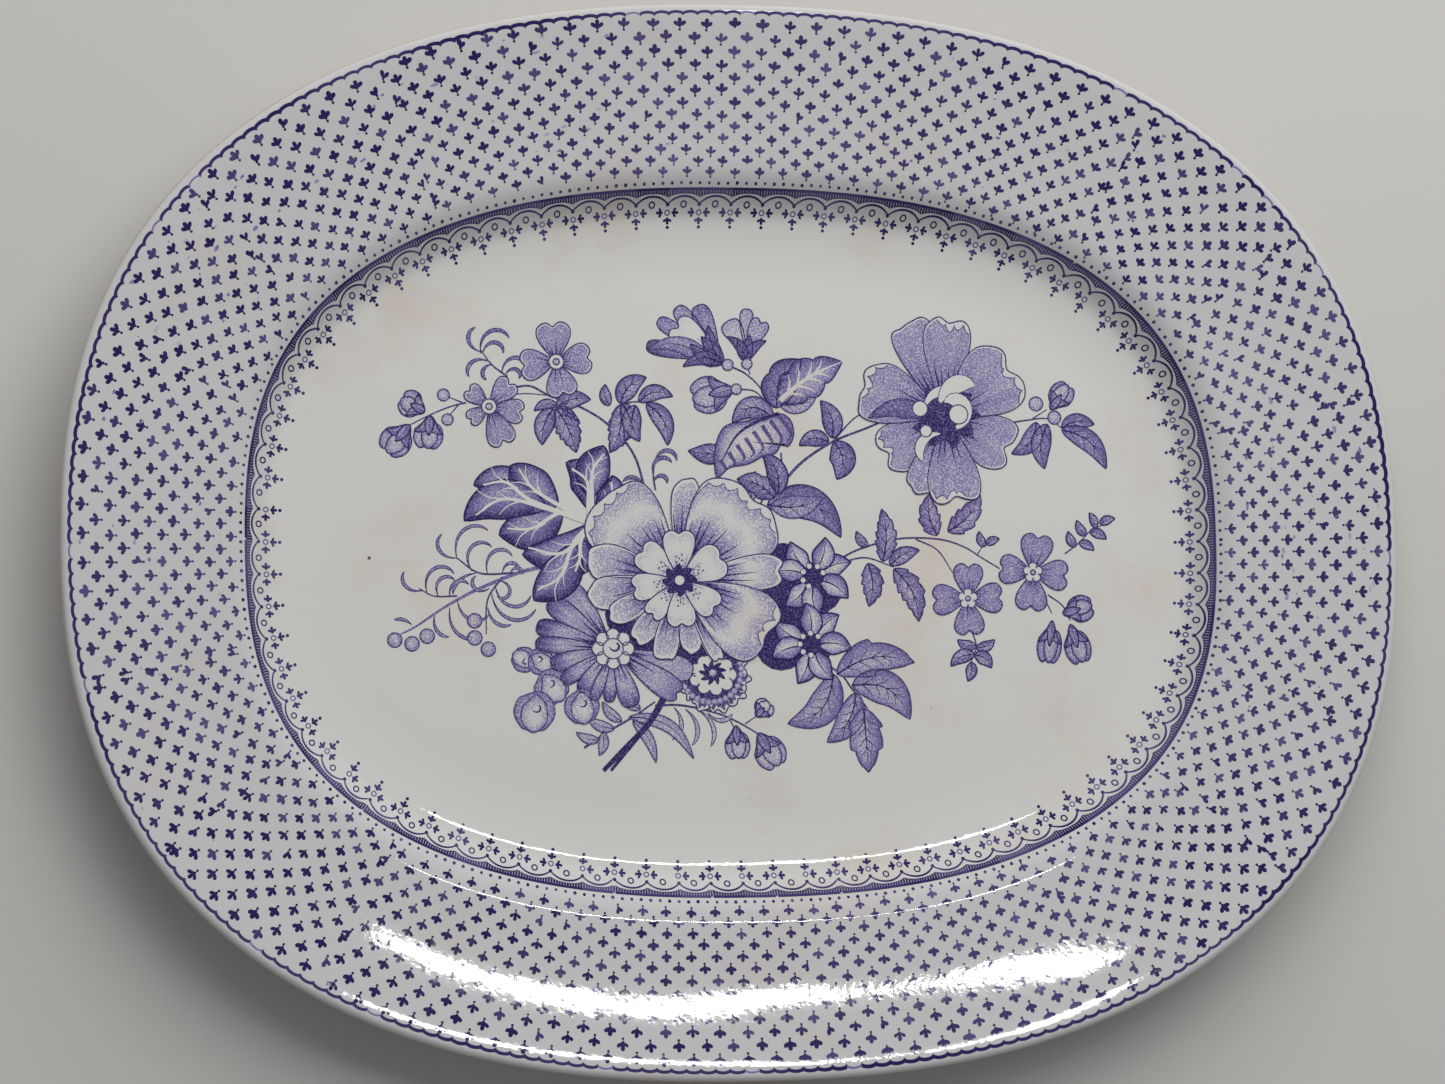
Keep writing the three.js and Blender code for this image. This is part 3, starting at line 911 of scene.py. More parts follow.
def ball(sheet, centre, radius, layer, tone=0.45, outline=OUTLINE, shine=0.5):
    """A berry or a knob: round, lighter on one side, outlined."""
    angle = np.linspace(0.0, 2 * math.pi, BALL_SIDES, endpoint=False)
    rings = np.array([1.0, 0.72, 0.4])
    around = np.stack([np.cos(angle), np.sin(angle)], 1)
    centre = np.asarray(centre, float)
    middle = centre + np.array([-0.22, 0.25]) * radius
    plan = np.vstack([middle + (centre - middle) * ring + around * radius * ring
                      for ring in rings] + [middle[None]])
    tones = tone * (1 - np.array([0.0, 0.4, 1.0]) * shine)
    ink = np.append(np.repeat(tones, BALL_SIDES), tones[-1])
    flat(sheet, plan, ink, dome_faces(len(rings), BALL_SIDES), layer)
    if outline:
        ribbon(sheet, centre + around * radius, outline / 2, 0.9, layer + 1, closed=True)


def patch(sheet, points, layer, tones=(0.25, 0.4, 0.8), eye=None, line_ink=0.95):
    """A closed rounded shape through a few points: tones run from its eye to its edge."""
    loop = smooth_path(points[-2:] + points + points[:2], 6)[12:-13]
    eye = np.mean(loop, 0) if eye is None else np.asarray(eye, float)
    rings = np.array([1.0, 0.88, 0.7, 0.45, 0.2])
    count = len(loop)
    plan = np.vstack([eye + (loop - eye) * ring for ring in rings] + [eye[None]])
    ink = np.append(np.repeat(np.interp(rings, (0.3, 0.75, 1.0), tones), count), tones[0])
    flat(sheet, plan, ink, dome_faces(len(rings), count), layer)
    ribbon(sheet, loop, OUTLINE / 2, line_ink, layer + 1, closed=True)


def petal(sheet, base, heading, length, spread, layer, tones=(0.85, 0.5, 0.42, 0.5), notch=0.0,
          ruffle=0.0, rim=0.0, rim_span=(-0.8, 0.8), rim_lobes=5, lining=0.0, veins=7,
          vein_reach=0.36, root=0.12):
    """A petal fanned out from its base: tones run from the base to the edge.

    A notch divides its edge, a ruffle makes it wavy, a rim is a pale edge curled over in
    scallops along part of it, and a lining is a pale line along the inside of the outline.
    The petal starts at its root, a share of its length out from the base.
    """
    base = np.asarray(base, float)

    def rays(across):
        angle = math.radians(heading) + math.radians(spread) * across
        return np.stack([np.cos(angle), np.sin(angle)], 1)

    def edge(across):
        squareness = 4.2 if spread > 20 else 3.2
        reach = length * (1 - np.abs(across) ** squareness) ** 0.42
        reach = reach * (1 - notch * np.exp(-(across / 0.17) ** 2))
        ripple = np.sin(across * 7.0 + heading) + 0.4 * np.sin(across * 12.0 + 2.0 * heading)
        return np.maximum(reach * (1 + ruffle * ripple), length * root)

    across = np.sin(np.linspace(-math.pi / 2, math.pi / 2, PETAL_RAYS))
    rows = np.linspace(root, 1.0, PETAL_ROWS)
    grid = base + rays(across)[None] * (edge(across)[None] * rows[:, None])[..., None]
    tone = np.interp(rows, (0.0, 0.33, 0.7, 1.0), tones)[:, None]
    shade = 0.16 * np.abs(across) ** 2 + 0.07 * np.cos(across * 11.0 + heading)
    tone = np.clip(tone * (1.0 + shade), 0.0, 1.0)
    flat(sheet, grid.reshape(-1, 2), tone.reshape(-1), grid_faces(PETAL_ROWS, PETAL_RAYS), layer)
    if rim:
        along = np.linspace(*rim_span, CURLED_POINTS)
        share = np.linspace(0.0, math.pi, CURLED_POINTS)
        scallop = 0.35 + 0.65 * np.abs(np.sin(share * rim_lobes)) ** 0.6
        inner = edge(along) * (1 - rim * scallop * np.sin(share) ** 0.4)
        curled = base + rays(along) * inner[:, None]
        outer = base + rays(along) * edge(along)[:, None] * 0.99
        flat(sheet, np.vstack([curled, outer]), 0.1, strip_faces(CURLED_POINTS), layer + 1)
        ribbon(sheet, curled, 0.15, 0.8, layer + 1)
    if lining:
        inside = across[6:-6]
        ribbon(sheet, base + rays(inside) * (edge(inside) - 0.3 - lining / 2)[:, None],
               lining / 2, 0.05, layer + 1)
    ribbon(sheet, base + rays(across) * edge(across)[:, None], OUTLINE / 2, 0.95, layer + 1)
    for vein in range(veins):
        place = (vein + 0.5) / veins * 1.7 - 0.85
        ray = rays(np.array([place]))[0]
        far = length * (vein_reach + 0.22 * math.sin(3.7 * vein + heading))
        share = np.linspace(0.0, 1.0, 5)[:, None]
        path = base + ray * (length * root + (far - length * root) * share)
        ribbon(sheet, path, length * 0.018 * (1.0 - share[:, 0]) + 0.04, tones[0], layer + 1)


def blade(sheet, base, tip, width, layer, bend=0.1, teeth=0, tones=(0.4, 1.0), vein=1.0,
          hook=0.0, fullest=0.42, sides=5, lobes=0, blunt=0.8):
    """A leaf or pointed petal: tones are those of its middle and its edge; one half is darker."""
    base, tip = np.asarray(base, float), np.asarray(tip, float)
    axis = tip - base
    length = float(np.linalg.norm(axis))
    square = np.array([-axis[1], axis[0]]) / length
    share = np.linspace(0.0, 1.0, BLADE_ROWS)
    sideways = bend * length * np.sin(math.pi * share) + hook * length * (share - 0.7).clip(0) ** 2
    spine = base + axis * share[:, None] + square * sideways[:, None]
    along = np.gradient(spine, axis=0)
    normal = np.stack([-along[:, 1], along[:, 0]], 1)
    normal /= np.linalg.norm(normal, axis=1)[:, None]
    swell = np.sin(math.pi * share ** (math.log(0.5) / math.log(fullest))).clip(0) ** blunt
    if teeth:
        swell = swell * (0.84 + 0.3 * (share * teeth % 1.0) * (share < 0.93))
    if lobes:
        swell = swell * (0.82 + 0.26 * np.abs(np.sin(math.pi * share * lobes)) ** 0.7)
    across = np.linspace(-1.0, 1.0, BLADE_COLUMNS)
    half = width / 2 * swell
    grid = spine[:, None] + normal[:, None] * (half[:, None] * across[None])[..., None]
    ends = 0.35 * (1 - share[:, None]) ** 3 + 0.5 * share[:, None] ** 4
    ink = tones[0] + (tones[1] - tones[0]) * (np.abs(across)[None] ** 3 * 0.45 + ends
                                              + 0.2 * (across[None] > 0) * (share[:, None] > 0.1))
    flat(sheet, grid.reshape(-1, 2), np.clip(ink, 0, 1).reshape(-1),
         grid_faces(BLADE_ROWS, BLADE_COLUMNS), layer)
    outline = np.vstack([grid[:, 0], grid[::-1, -1]])
    ribbon(sheet, outline, OUTLINE / 2, max(tones[1], 0.85), layer + 1)
    if vein is not None:
        line = 0.24 if vein > 0.5 else 0.62
        ribbon(sheet, spine, line * (1.15 - share) * min(1.0, width / 5), vein, layer + 2)
        for pair in range(sides):
            start = 4 + round(pair * 19 / max(sides, 1))
            end = min(start + 5, BLADE_ROWS - 2)
            for way in (-1, 1):
                target = spine[end] + normal[end] * half[end] * 0.8 * way
                middle = (spine[start] + target) / 2 + axis / length * 0.03 * length
                path = smooth_path([spine[start], middle, target], 4)
                taper = np.linspace(1.0, 0.2, len(path))
                ribbon(sheet, path, line * 0.6 * taper * min(1.0, width / 6), vein, layer + 2)


def bud(sheet, base, tip, width, layer, tone=0.42):
    """A closed flower: rounded overlapping petals held in a calyx of pointed dark sepals."""
    base, tip = np.asarray(base, float), np.asarray(tip, float)
    axis = tip - base
    aside = np.array([-axis[1], axis[0]]) / np.linalg.norm(axis) * width
    for way, lighter in ((0.24, 1.0), (-0.24, 0.95), (0.05, 0.8)):
        points = [tuple(base + axis * along + aside * (way + across)) for along, across in
                  ((0.22, 0.0), (0.4, 0.25), (0.72, 0.3), (0.98, 0.1), (0.98, -0.12),
                   (0.72, -0.3), (0.4, -0.25))]
        patch(sheet, points, layer, (tone * lighter * 0.7, tone * lighter, tone * 1.5))
        layer += 2
    for way in (-1.0, 1.0, 0.0):
        end = base + axis * (0.62 - 0.08 * abs(way)) + aside * way * 0.5
        blade(sheet, base, end, width * 0.34, layer, -0.16 * way, tones=(0.35, 1.0), sides=0)
        layer += 2


def leaves(sheet, rows, layer, tones=(0.3, 1.0), sides=3):
    """Leaves, each given by base, tip, width and bend, and by its teeth where it has any."""
    for base, tip, width, bend, *teeth in rows:
        blade(sheet, base, tip, width, layer, bend, *teeth, tones=tones, sides=sides)


# The engraved tones: the ink's coverage is broken into the stipple of the plate, 0.42 mm apart.
stippled_print, tree, output = new_material("violet_stippled_print")
place = object_place(tree)
ink = add_node(tree, "Attribute", attribute_name="ink").outputs["Fac"]
stipple = add_node(tree, "TexVoronoi", {"Vector": place, "Scale": 1 / (0.42 * MM)})
threshold = remap(tree, stipple.outputs["Distance"], 0.1, 0.85, 0.28, -0.28)
coverage = add_node(tree, "Math", {0: ink, 1: threshold}, operation="ADD")
inked = remap(tree, ink, 0.06, 0.2)
covered = add_node(tree, "Math", {0: coverage, 1: inked}, operation="MULTIPLY", use_clamp=True)
add_glaze(tree, output, add_printed_ware(tree, covered), PRINT_ROUGHNESS)


def add_engraving(name, sheet):
    add_piece(name, sheet.mesh(name), ["centre_bouquet_print"], stippled_print)


# ---- Bouquet: small blossoms and their stems ---------------------------------------------
# Garden flowers of four or five petals on thin stems at the left and right ends of the bouquet,
# with their buds, berries and tendrils. All of one transfer, laid into the well by hand.

left_sprays = Transfer()
stems(left_sprays, [([(-71, 37), (-75, 36), (-80, 34), (-86, 31)], 0.5),
                    ([(-72, 37), (-77, 39)], 0.4), ([(-73, 36.5), (-76, 33)], 0.4)])
stem(left_sprays, [(-59, 41), (-54, 41.5), (-49, 39), (-43, 37), (-37, 34), (-33, 31), (-29, 27),
                   (-26, 22), (-24, 15)], 0.55, 0, end=1.2)
stem(left_sprays, [(-61, 39), (-55, 39.5), (-49, 39)], 0.4, 0)
ball(left_sprays, (-77, 39), 1.6, 1)
ball(left_sprays, (-76, 32.5), 1.5, 1)
for base, tip, width in (((-82, 34.5), (-88, 38), 6.5), ((-86, 31), (-92, 24), 7.5),
                         ((-80.5, 33.5), (-81.5, 25), 7.0)):
    bud(left_sprays, base, tip, width, 2)
stem(left_sprays, [(-60, 44), (-64, 47), (-67, 51)], 0.5, 0)
curls(left_sprays, [((-67, 50), 95, 13, -170), ((-66.5, 50), 75, 9, -190),
                    ((-67, 50.5), 160, 9, -150), ((-61.5, 45), 80, 11, -190),
                    ((-65, 48), 160, 9, 150), ((-60.5, 44.5), 60, 6.5, -200),
                    ((-64, 47.2), 190, 6, 150)], 1)
for centre, petals in (((-47, 48), ((95, 10.8), (8, 9.6), (187, 9.8), (-78, 9.6))),
                       ((-65, 36), ((48, 9.2), (-10, 9.4), (140, 7.4), (-68, 11.0),
                                    (215, 6.6)))):
    layer = 10
    for heading, length in petals:
        petal(left_sprays, centre, heading, length, 39 if len(petals) == 4 else 31, layer,
              (0.95, 0.46, 0.4, 0.46), notch=0.13, lining=0.25, veins=6)
        layer += 2
    ball(left_sprays, centre, 2.0, layer, 0.03)
    ball(left_sprays, centre, 0.85, layer + 2, 0.4)
leaves(left_sprays, [
    ((-47, 36.5), (-53, 35), 2.6, -0.15), ((-47, 36), (-38, 38), 4.6, 0.12),
    ((-46, 36), (-41, 32), 3.6, -0.1), ((-48, 35.5), (-51, 26), 5.2, -0.1),
    ((-47, 35.5), (-42, 24), 6.4, 0.05, 6), ((-33, 36.5), (-34, 42), 3.0, 0.1),
    ((-30, 37), (-23, 44), 5.4, 0.16), ((-30, 36.5), (-33, 24), 6.2, 0.1, 5),
    ((-29.5, 37), (-29, 27), 4.4, 0.18), ((-25, 37.5), (-16, 39), 4.2, 0.2),
    ((-26, 36.5), (-25, 27), 5.0, -0.16), ((-23, 37), (-17.5, 26), 5.0, 0.16)], 4)
stem(left_sprays, [(-33, 31), (-31, 36), (-26, 37.5), (-22, 37)], 0.5, 2)
stem(left_sprays, [(-44, 37), (-47, 36), (-48, 34)], 0.45, 2)
stem(left_sprays, [(-21, 14), (-21.5, 18), (-21, 22)], 0.5, 0)
curls(left_sprays, [((-21.5, 18), 100, 9, -170), ((-21, 21), 80, 9.5, -185),
                    ((-21.5, 16), 70, 6, -190), ((-24, 15), 120, 7, 120),
                    ((-24, 14), 140, 5, 130)], 1)
add_engraving("bouquet_left_sprays", left_sprays)

right_sprays = Transfer()
stems(right_sprays, [
    ([(26, -6), (33, -2), (44, 1), (55, 1), (62, -1), (67, -4), (72, -7)], 0.6),
    ([(27, -6), (35, -4), (43, -6.5)], 0.55), ([(49, 1), (55, -2), (59, -8)], 0.45),
    ([(66, -3), (68, 0)], 0.35), ([(90, -3), (94, 0), (97, 3), (101, 5)], 0.45),
    ([(84, -15), (86, -19)], 0.45), ([(85, -14), (89, -17), (91, -21)], 0.45),
    ([(64, -24), (65, -28), (63, -33)], 0.45)])
leaves(right_sprays, [
    ((40, -5), (40, 9), 5.6, -0.08, 5), ((36, -5.5), (36, -17), 5.6, 0.1, 4),
    ((42, -6), (50, -2), 4.2, 0.1), ((43, -7), (49.5, -21), 6.4, 0.12, 5),
    ((55, 2), (53, 13), 5.6, 0.1, 4), ((58, 3), (67, 13), 5.8, -0.1, 4),
    ((36, -1), (33, 3), 2.4, 0.1), ((68, -1), (66.5, 3), 2.2, 0.1),
    ((68.5, -0.5), (72, 1), 2.2, 0.1),
    ((65, -27.5), (60, -26), 2.8, 0.15), ((65, -28), (70, -26), 2.8, -0.15),
    ((64.5, -30), (58, -33), 3.6, -0.15), ((64.5, -30), (69, -33.5), 3.6, 0.15),
    ((63.5, -32), (62.5, -37), 3.0, 0.1),
    ((93, -1), (91, 3), 2.4, 0.1), ((94, 0), (98, -2), 2.4, 0.1),
    ((96, 2), (93.5, 6), 2.4, 0.1), ((97, 3), (101.5, 1), 2.6, 0.1),
    ((98.5, 4), (97, 8), 2.2, -0.1), ((100, 5), (104, 6.5), 2.4, 0.1)], 2)
for base, tip, width in (((89, -19), (97, -17), 6.5), ((86, -21), (84.5, -32), 6.0),
                         ((91, -22), (94, -32), 6.5)):
    bud(right_sprays, base, tip, width, 4, 0.5)
for centre, petals in (((63, -15), ((88, 9.6), (2, 9.6), (182, 9.8), (-88, 9.8))),
                       ((81, -8), ((80, 10.6), (-6, 9.8), (172, 9.4), (-95, 10.4)))):
    layer = 18
    for heading, length in petals:
        petal(right_sprays, centre, heading, length, 38, layer, (0.95, 0.55, 0.42, 0.5),
              notch=0.13, veins=6)
        layer += 2
    for knob in round_about(centre, 5, 1.5, 1.5, 0.3):
        ball(right_sprays, knob, 1.15, layer, 0.03, 0.26)
    ball(right_sprays, centre, 1.5, layer + 2, 0.03, 0.0)
    ball(right_sprays, centre, 0.7, layer + 3, 0.6)
add_engraving("bouquet_right_sprays", right_sprays)


# ---- Bouquet: buds and leaves at the top -------------------------------------------------
# A half-open rosebud, a small open bell and a closed bud on arching stems, above broad leaves
# with light or dark veins and one leaf cut in bold ribs.

top_buds = Transfer()
stems(top_buds, [([(0, 47), (4, 45), (8, 41), (11, 35)], 0.55),
                 ([(2, 41), (6, 40.5), (9, 38)], 0.5), ([(4, 48), (5, 45)], 0.5),
                 ([(11, 36), (13, 40)], 0.6)])
rosebud = (-3, 49)
for heading, length, spread, tone in ((170, 20, 10, 0.6), (148, 19.5, 10, 0.4),
                                      (130, 18, 12, 0.35), (112, 15.5, 16, 0.45)):
    petal(top_buds, rosebud, heading, length, spread, 2, (0.8, tone, tone, tone * 1.3), veins=3)
petal(top_buds, rosebud, 143, 15.5, 24, 6, (0.5, 0.08, 0.03, 0.12), notch=0.1, veins=4)
blade(top_buds, (-5, 47), (-22, 52.5), 4.6, 9, -0.16, tones=(0.35, 0.75), sides=0, hook=0.8)
for tip, bend in (((-6, 58), 0.1), ((-11, 53), 0.1), ((-13, 47), -0.16), ((-8, 55), 0.0)):
    blade(top_buds, (-2.2, 48), tip, 3.6, 12, bend, tones=(0.6, 0.95), sides=2)
ball(top_buds, (-1, 47.5), 1.5, 15, 0.4)
petal(top_buds, (4, 51), 120, 9.5, 26, 2, (0.6, 0.2, 0.2, 0.35), veins=3)
petal(top_buds, (4, 51), 62, 9.8, 24, 4, (0.6, 0.4, 0.35, 0.4), notch=0.1, veins=3)
petal(top_buds, (4, 51), 88, 11.5, 15, 1, (0.6, 0.35, 0.3, 0.4), veins=2)
for tip, bend in (((-1, 55), -0.15), ((9.5, 54), 0.15), ((5, 55.5), 0.0), ((2, 54.5), 0.0)):
    blade(top_buds, (4, 48.5), tip, 2.8, 8, bend, tones=(0.6, 0.95), sides=0)
ball(top_buds, (4.2, 47.8), 1.4, 11, 0.4)
bud(top_buds, (0.5, 41), (-10.5, 38.5), 9.0, 2, 0.4)
ball(top_buds, (1.2, 41), 1.4, 15, 0.4)
for base, tip, width, bend, tones, lobes in (
        ((13, 37), (23, 40), 5.0, -0.12, (0.25, 0.7), 0),
        ((12, 36), (19, 49), 9.0, 0.16, (0.35, 1.1), 2),
        ((13, 38), (30, 48.5), 10.5, 0.06, (0.28, 1.0), 3),
        ((11, 12), (1, 17), 6.0, -0.1, (0.35, 1.0), 2),
        ((12, 13), (8, 24), 5.5, -0.15, (0.4, 1.1), 0),
        ((2, 25), (-12, 24.5), 6.0, 0.08, (0.4, 1.0), 2),
        ((11, 33.5), (0, 32), 6.0, -0.3, (0.3, 1.0), 0)):
    blade(top_buds, base, tip, width, 6, bend, tones=tones, sides=4, lobes=lobes,
          vein=0.1 if width > 10 else 1.0)
patch(top_buds, [(12, 34.5), (15.5, 33), (16.5, 29), (15, 25.8), (13.2, 26.5), (11.5, 24),
                 (8, 23), (4, 21), (-1, 20), (-4, 17.5), (-5, 20), (-4.6, 26), (-2, 31), (4, 32.5)],
      12, (0.12, 0.3, 0.75), eye=(4, 27))
for rib in range(8):
    share = rib / 7
    top = np.array([12.5 - 16 * share, 34.0 - 8.5 * share - 3.5 * share ** 2])
    foot = np.array([14.5 - 17 * share, 26.5 - 7 * share])
    bulge = np.array([2.2 - 1.2 * share, -1.0])
    path = smooth_path([top, (top + foot) / 2 + bulge, foot * 0.95 + top * 0.05])
    ribbon(top_buds, path, np.linspace(0.6, 0.15, len(path)), 0.8, 14)
stem(top_buds, [(12.5, 34.5), (6, 32), (1, 28.5), (-3, 22)], 1.1, 16, 1.0, end=0.3)
stem(top_buds, [(13, 24), (13, 18), (11, 12)], 0.5, 0)
add_engraving("bouquet_top_buds", top_buds)


# ---- Bouquet: large rose -----------------------------------------------------------------
# The open rose at the right, eight stippled petals, some with a pale edge curled over, a dark
# throat and pale curled stamens, on two stems that rise from the middle of the bouquet.

rose = Transfer()
stems(rose, [([(11, 13), (18, 21), (27, 27), (37, 31), (46, 35)], 0.85),
             ([(27, 27), (34, 34), (42, 36)], 0.5)])
leaves(rose, [((27, 28), (24, 38), 5.4, -0.14), ((26, 27), (18, 26), 4.4, -0.18),
              ((27.5, 27), (28, 17), 7.0, 0.2)], 2, (0.4, 1.0))
stem(rose, [(74, 32), (80, 33), (86, 33.5), (90, 31)], 0.5, 2)
leaves(rose, [((90, 31), (99, 32), 4.4, 0.14), ((83, 32.5), (76, 24), 5.0, 0.18),
              ((86, 32), (85, 20), 5.4, -0.12), ((90, 30.5), (102, 20), 5.6, 0.16)],
       3, (0.4, 0.95))
stem(rose, [(82, 33.5), (86, 36)], 0.4, 0)
ball(rose, (83, 37.5), 1.9, 3)
ball(rose, (88, 33.8), 1.8, 3)
bud(rose, (87, 36), (92, 42.5), 6.0, 4, 0.45)
ROSE_HEART = (58, 34)
layer = 20
for heading, length, spread, notch in ((-28, 20.5, 33, 0.12), (213, 20.5, 30, 0.07),
                                       (110, 27, 21, 0.0), (88, 26.5, 22, 0.04),
                                       (37, 23.5, 38, 0.07), (160, 24.5, 30, 0.05),
                                       (-112, 22, 18, 0.0), (-84, 23.5, 28, 0.07)):
    curled = notch and notch < 0.1
    petal(rose, ROSE_HEART, heading, length, spread, layer, (1.0, 0.52, 0.4, 0.38), notch,
          ruffle=0.02, rim=0.1 if curled else 0.0, rim_span=(-0.75, 0.3), rim_lobes=4,
          lining=0.3, veins=11)
    layer += 3
blade(rose, (54, 33.5), (37, 33.5), 5.0, layer, -0.16, tones=(0.62, 0.9), vein=None)
for tip in round_about(ROSE_HEART, 9, 9.5, 9.0):
    blade(rose, ROSE_HEART, tip, 4.6, layer + 2, tones=(0.95, 0.95), vein=None)
layer += 5
for root, heading, length, turn, width in (((52, 34), 85, 17, -190, 3.2),
                                           ((58, 29), 170, 13, 150, 2.8),
                                           ((56, 36), 75, 14, -110, 5.0),
                                           ((59, 30), 20, 15, 210, 4.6)):
    curl(rose, root, heading, length, turn, layer, width, 0.04)
    layer += 2
for centre, radius in (((51, 36), 2.1), ((52.5, 30), 1.6), ((61.5, 34.5), 2.6)):
    ball(rose, centre, radius, layer, 0.08)
add_engraving("bouquet_large_rose", rose)


# ---- Bouquet: dark leaves and left tendrils ----------------------------------------------
# Lobed leaves cut almost solid with the veins left white, and under them a feathery spray of
# tendrils that ends in berries.

dark_leaves = Transfer()
LEAF_ROOT = (-38, 5)
dark_lobes = (
    ((-54, 11), (-69, 16), 8.5, -0.16), ((-47, 10), (-59, 21), 11.0, 0.08),
    ((-46, 8), (-63, 3), 11.0, 0.1), ((-50, 9), (-72, 7), 10.5, -0.16),
    ((-39, 9), (-44, 21.5), 9.0, -0.18), ((-37, 8), (-32, 17.5), 7.5, -0.16),
    ((-37, 6), (-30, 12), 7.5, -0.1), ((-38, 12), (-34, 25.5), 9.0, 0.12),
    (LEAF_ROOT, (-57, -2), 9.5, 0.22), ((-41, 1), (-43, -9), 8.0, 0.05),
    ((-43, 0), (-54.5, -14.5), 10.5, 0.14))
layer = 4
for base, tip, width, bend in dark_lobes:
    blade(dark_leaves, base, tip, width, layer, bend, tones=(0.3, 1.45), vein=None, hook=0.6,
          fullest=0.5, blunt=0.72)
    layer += 2
for base, tip, width, bend in dark_lobes:
    start, end = np.asarray(base, float), np.asarray(tip, float)
    square = np.array([-(end - start)[1], (end - start)[0]])
    middle = (start + end) / 2 + square * bend
    path = smooth_path([np.asarray(LEAF_ROOT), start, middle, start + (end - start) * 0.86]
                       if base is not LEAF_ROOT else [start, middle, end * 0.9 + start * 0.1])
    ribbon(dark_leaves, path, np.linspace(0.7, 0.22, len(path)), 0.0, layer + 2)
    for way in (-1, 1):
        for share in (0.28, 0.52):
            root = start + (end - start) * share + square * bend * math.sin(math.pi * share)
            aside = square / np.linalg.norm(square) * way * width
            far = root + (end - start) * 0.3 + aside * 0.3
            path = smooth_path([root, root + (end - start) * 0.18 + aside * 0.1, far])
            ribbon(dark_leaves, path, np.linspace(0.24, 0.08, len(path)), 0.0, layer + 2)
add_engraving("bouquet_dark_leaves", dark_leaves)

tendrils = Transfer()
stem(tendrils, [(-50, -6), (-58, -8), (-68, -12), (-74, -15), (-79, -18), (-85, -22), (-89, -24)],
     1.1, 0, 0.65, end=0.4)
stems(tendrils, [([(-62, -9), (-66, -15), (-66.5, -24)], 0.55),
                 ([(-59, -8), (-68, -8), (-74, -4)], 0.6),
                 ([(-74, -14), (-80, -14), (-84, -12)], 0.5)])
curls(tendrils, [
    ((-60, -8), 60, 5, -170), ((-62, -8), 80, 7, -180), ((-66, -8), 100, 12, -170),
    ((-70, -7.5), 120, 13, -180), ((-74, -4), 100, 15, -150), ((-74, -4), 180, 10, -150),
    ((-69, -8), 190, 9, 80), ((-76, -14), 90, 8, -150), ((-79, -14), 110, 9, -170),
    ((-82, -13), 100, 13, -170), ((-83, -12.5), 190, 9, -140), ((-74, -15), -80, 12, 140),
    ((-76, -17), -95, 14, 130), ((-64, -11), -80, 14, 160), ((-65, -13), -80, 17, 150),
    ((-63, -10), -10, 9, -230), ((-65.5, -12), 210, 8, -190), ((-66, -17), -80, 9, 110),
    ((-80, -19), -100, 8, 110), ((-86, -21.5), 140, 5, 60)], 1, 0.8, 0.5)
for centre in ((-90.5, -25.5), (-86, -26.5), (-82, -24.5), (-69.5, -20.5), (-69.5, -25),
               (-66, -28)):
    ball(tendrils, centre, 1.9, 3, 0.5)
add_engraving("bouquet_tendrils", tendrils)


# ---- Bouquet: middle ---------------------------------------------------------------------
# The great many-petalled flower in the middle, with an aster, a small dark ruffled flower and
# two star flowers tucked round it, and the ground between them cut solid.

grounds = Transfer()
for centre, radius in (((13, -8), 8), ((15, -18), 9), ((19, -27), 7), ((12, -27), 7),
                       ((-22, -27), 9), ((-14, -28), 7), ((22, -12), 7), ((-28, -19), 7),
                       ((-20, -20), 8)):
    ball(grounds, centre, radius, 12, 1.0, 0.0, 0.0)
for heading, length in ((-140, 9.5), (-105, 10.5), (-75, 11), (-45, 11), (-20, 10.5), (5, 9.5),
                        (40, 9.0)):
    petal(grounds, (-7, -34), heading, length, 24, 14, (1.0, 1.0, 0.9, 0.62), ruffle=0.05,
          rim=0.14, veins=4)
for bead in range(20):
    bearing = math.radians(-150 + bead * 11)
    ball(grounds, (-7 + 8.2 * math.cos(bearing), -34 + 8.2 * math.sin(bearing)), 0.8, 18, 0.55,
         0.0)
for lobe in round_about((-6.5, -35), 9, 4.8, 3.8):
    ball(grounds, lobe, 1.7, 20, 0.04)
RUFFLED_HEART = (-6.5, -34.5)
ball(grounds, RUFFLED_HEART, 4.7, 22, 0.02, 0.0)
for tip in round_about(RUFFLED_HEART, 9, 3.6, 3.2, 0.2):
    blade(grounds, RUFFLED_HEART, tip, 1.1, 23, tones=(1.0, 1.0), vein=None)
ball(grounds, RUFFLED_HEART, 1.1, 26, 0.5)
add_engraving("bouquet_ruffled_flower", grounds)

stars = Transfer()
for (x, y), first in (((21, -9), 20), ((20, -27), 45)):
    layer = 16 if y > -20 else 24
    for point in range(7):
        bearing = math.radians(first + point * 51.4)
        blade(stars, (x + 1.5 * math.cos(bearing), y + 1.5 * math.sin(bearing)),
              (x + 11.0 * math.cos(bearing), y + 11.0 * math.sin(bearing)), 6.0, layer,
              0.1 * (-1) ** point, tones=(0.06, 1.2), vein=1.0, sides=0, fullest=0.48,
              blunt=0.95)
        layer += 1
    ball(stars, (x, y), 3.0, layer + 2, 1.0, 0.0, 0.0)
    for knob in range(6):
        bearing = math.radians(first + knob * 45)
        ball(stars, (x + 2.9 * math.cos(bearing), y + 2.9 * math.sin(bearing)), 0.75, layer + 3,
             0.02, 0.2)
add_engraving("bouquet_star_flowers", stars)

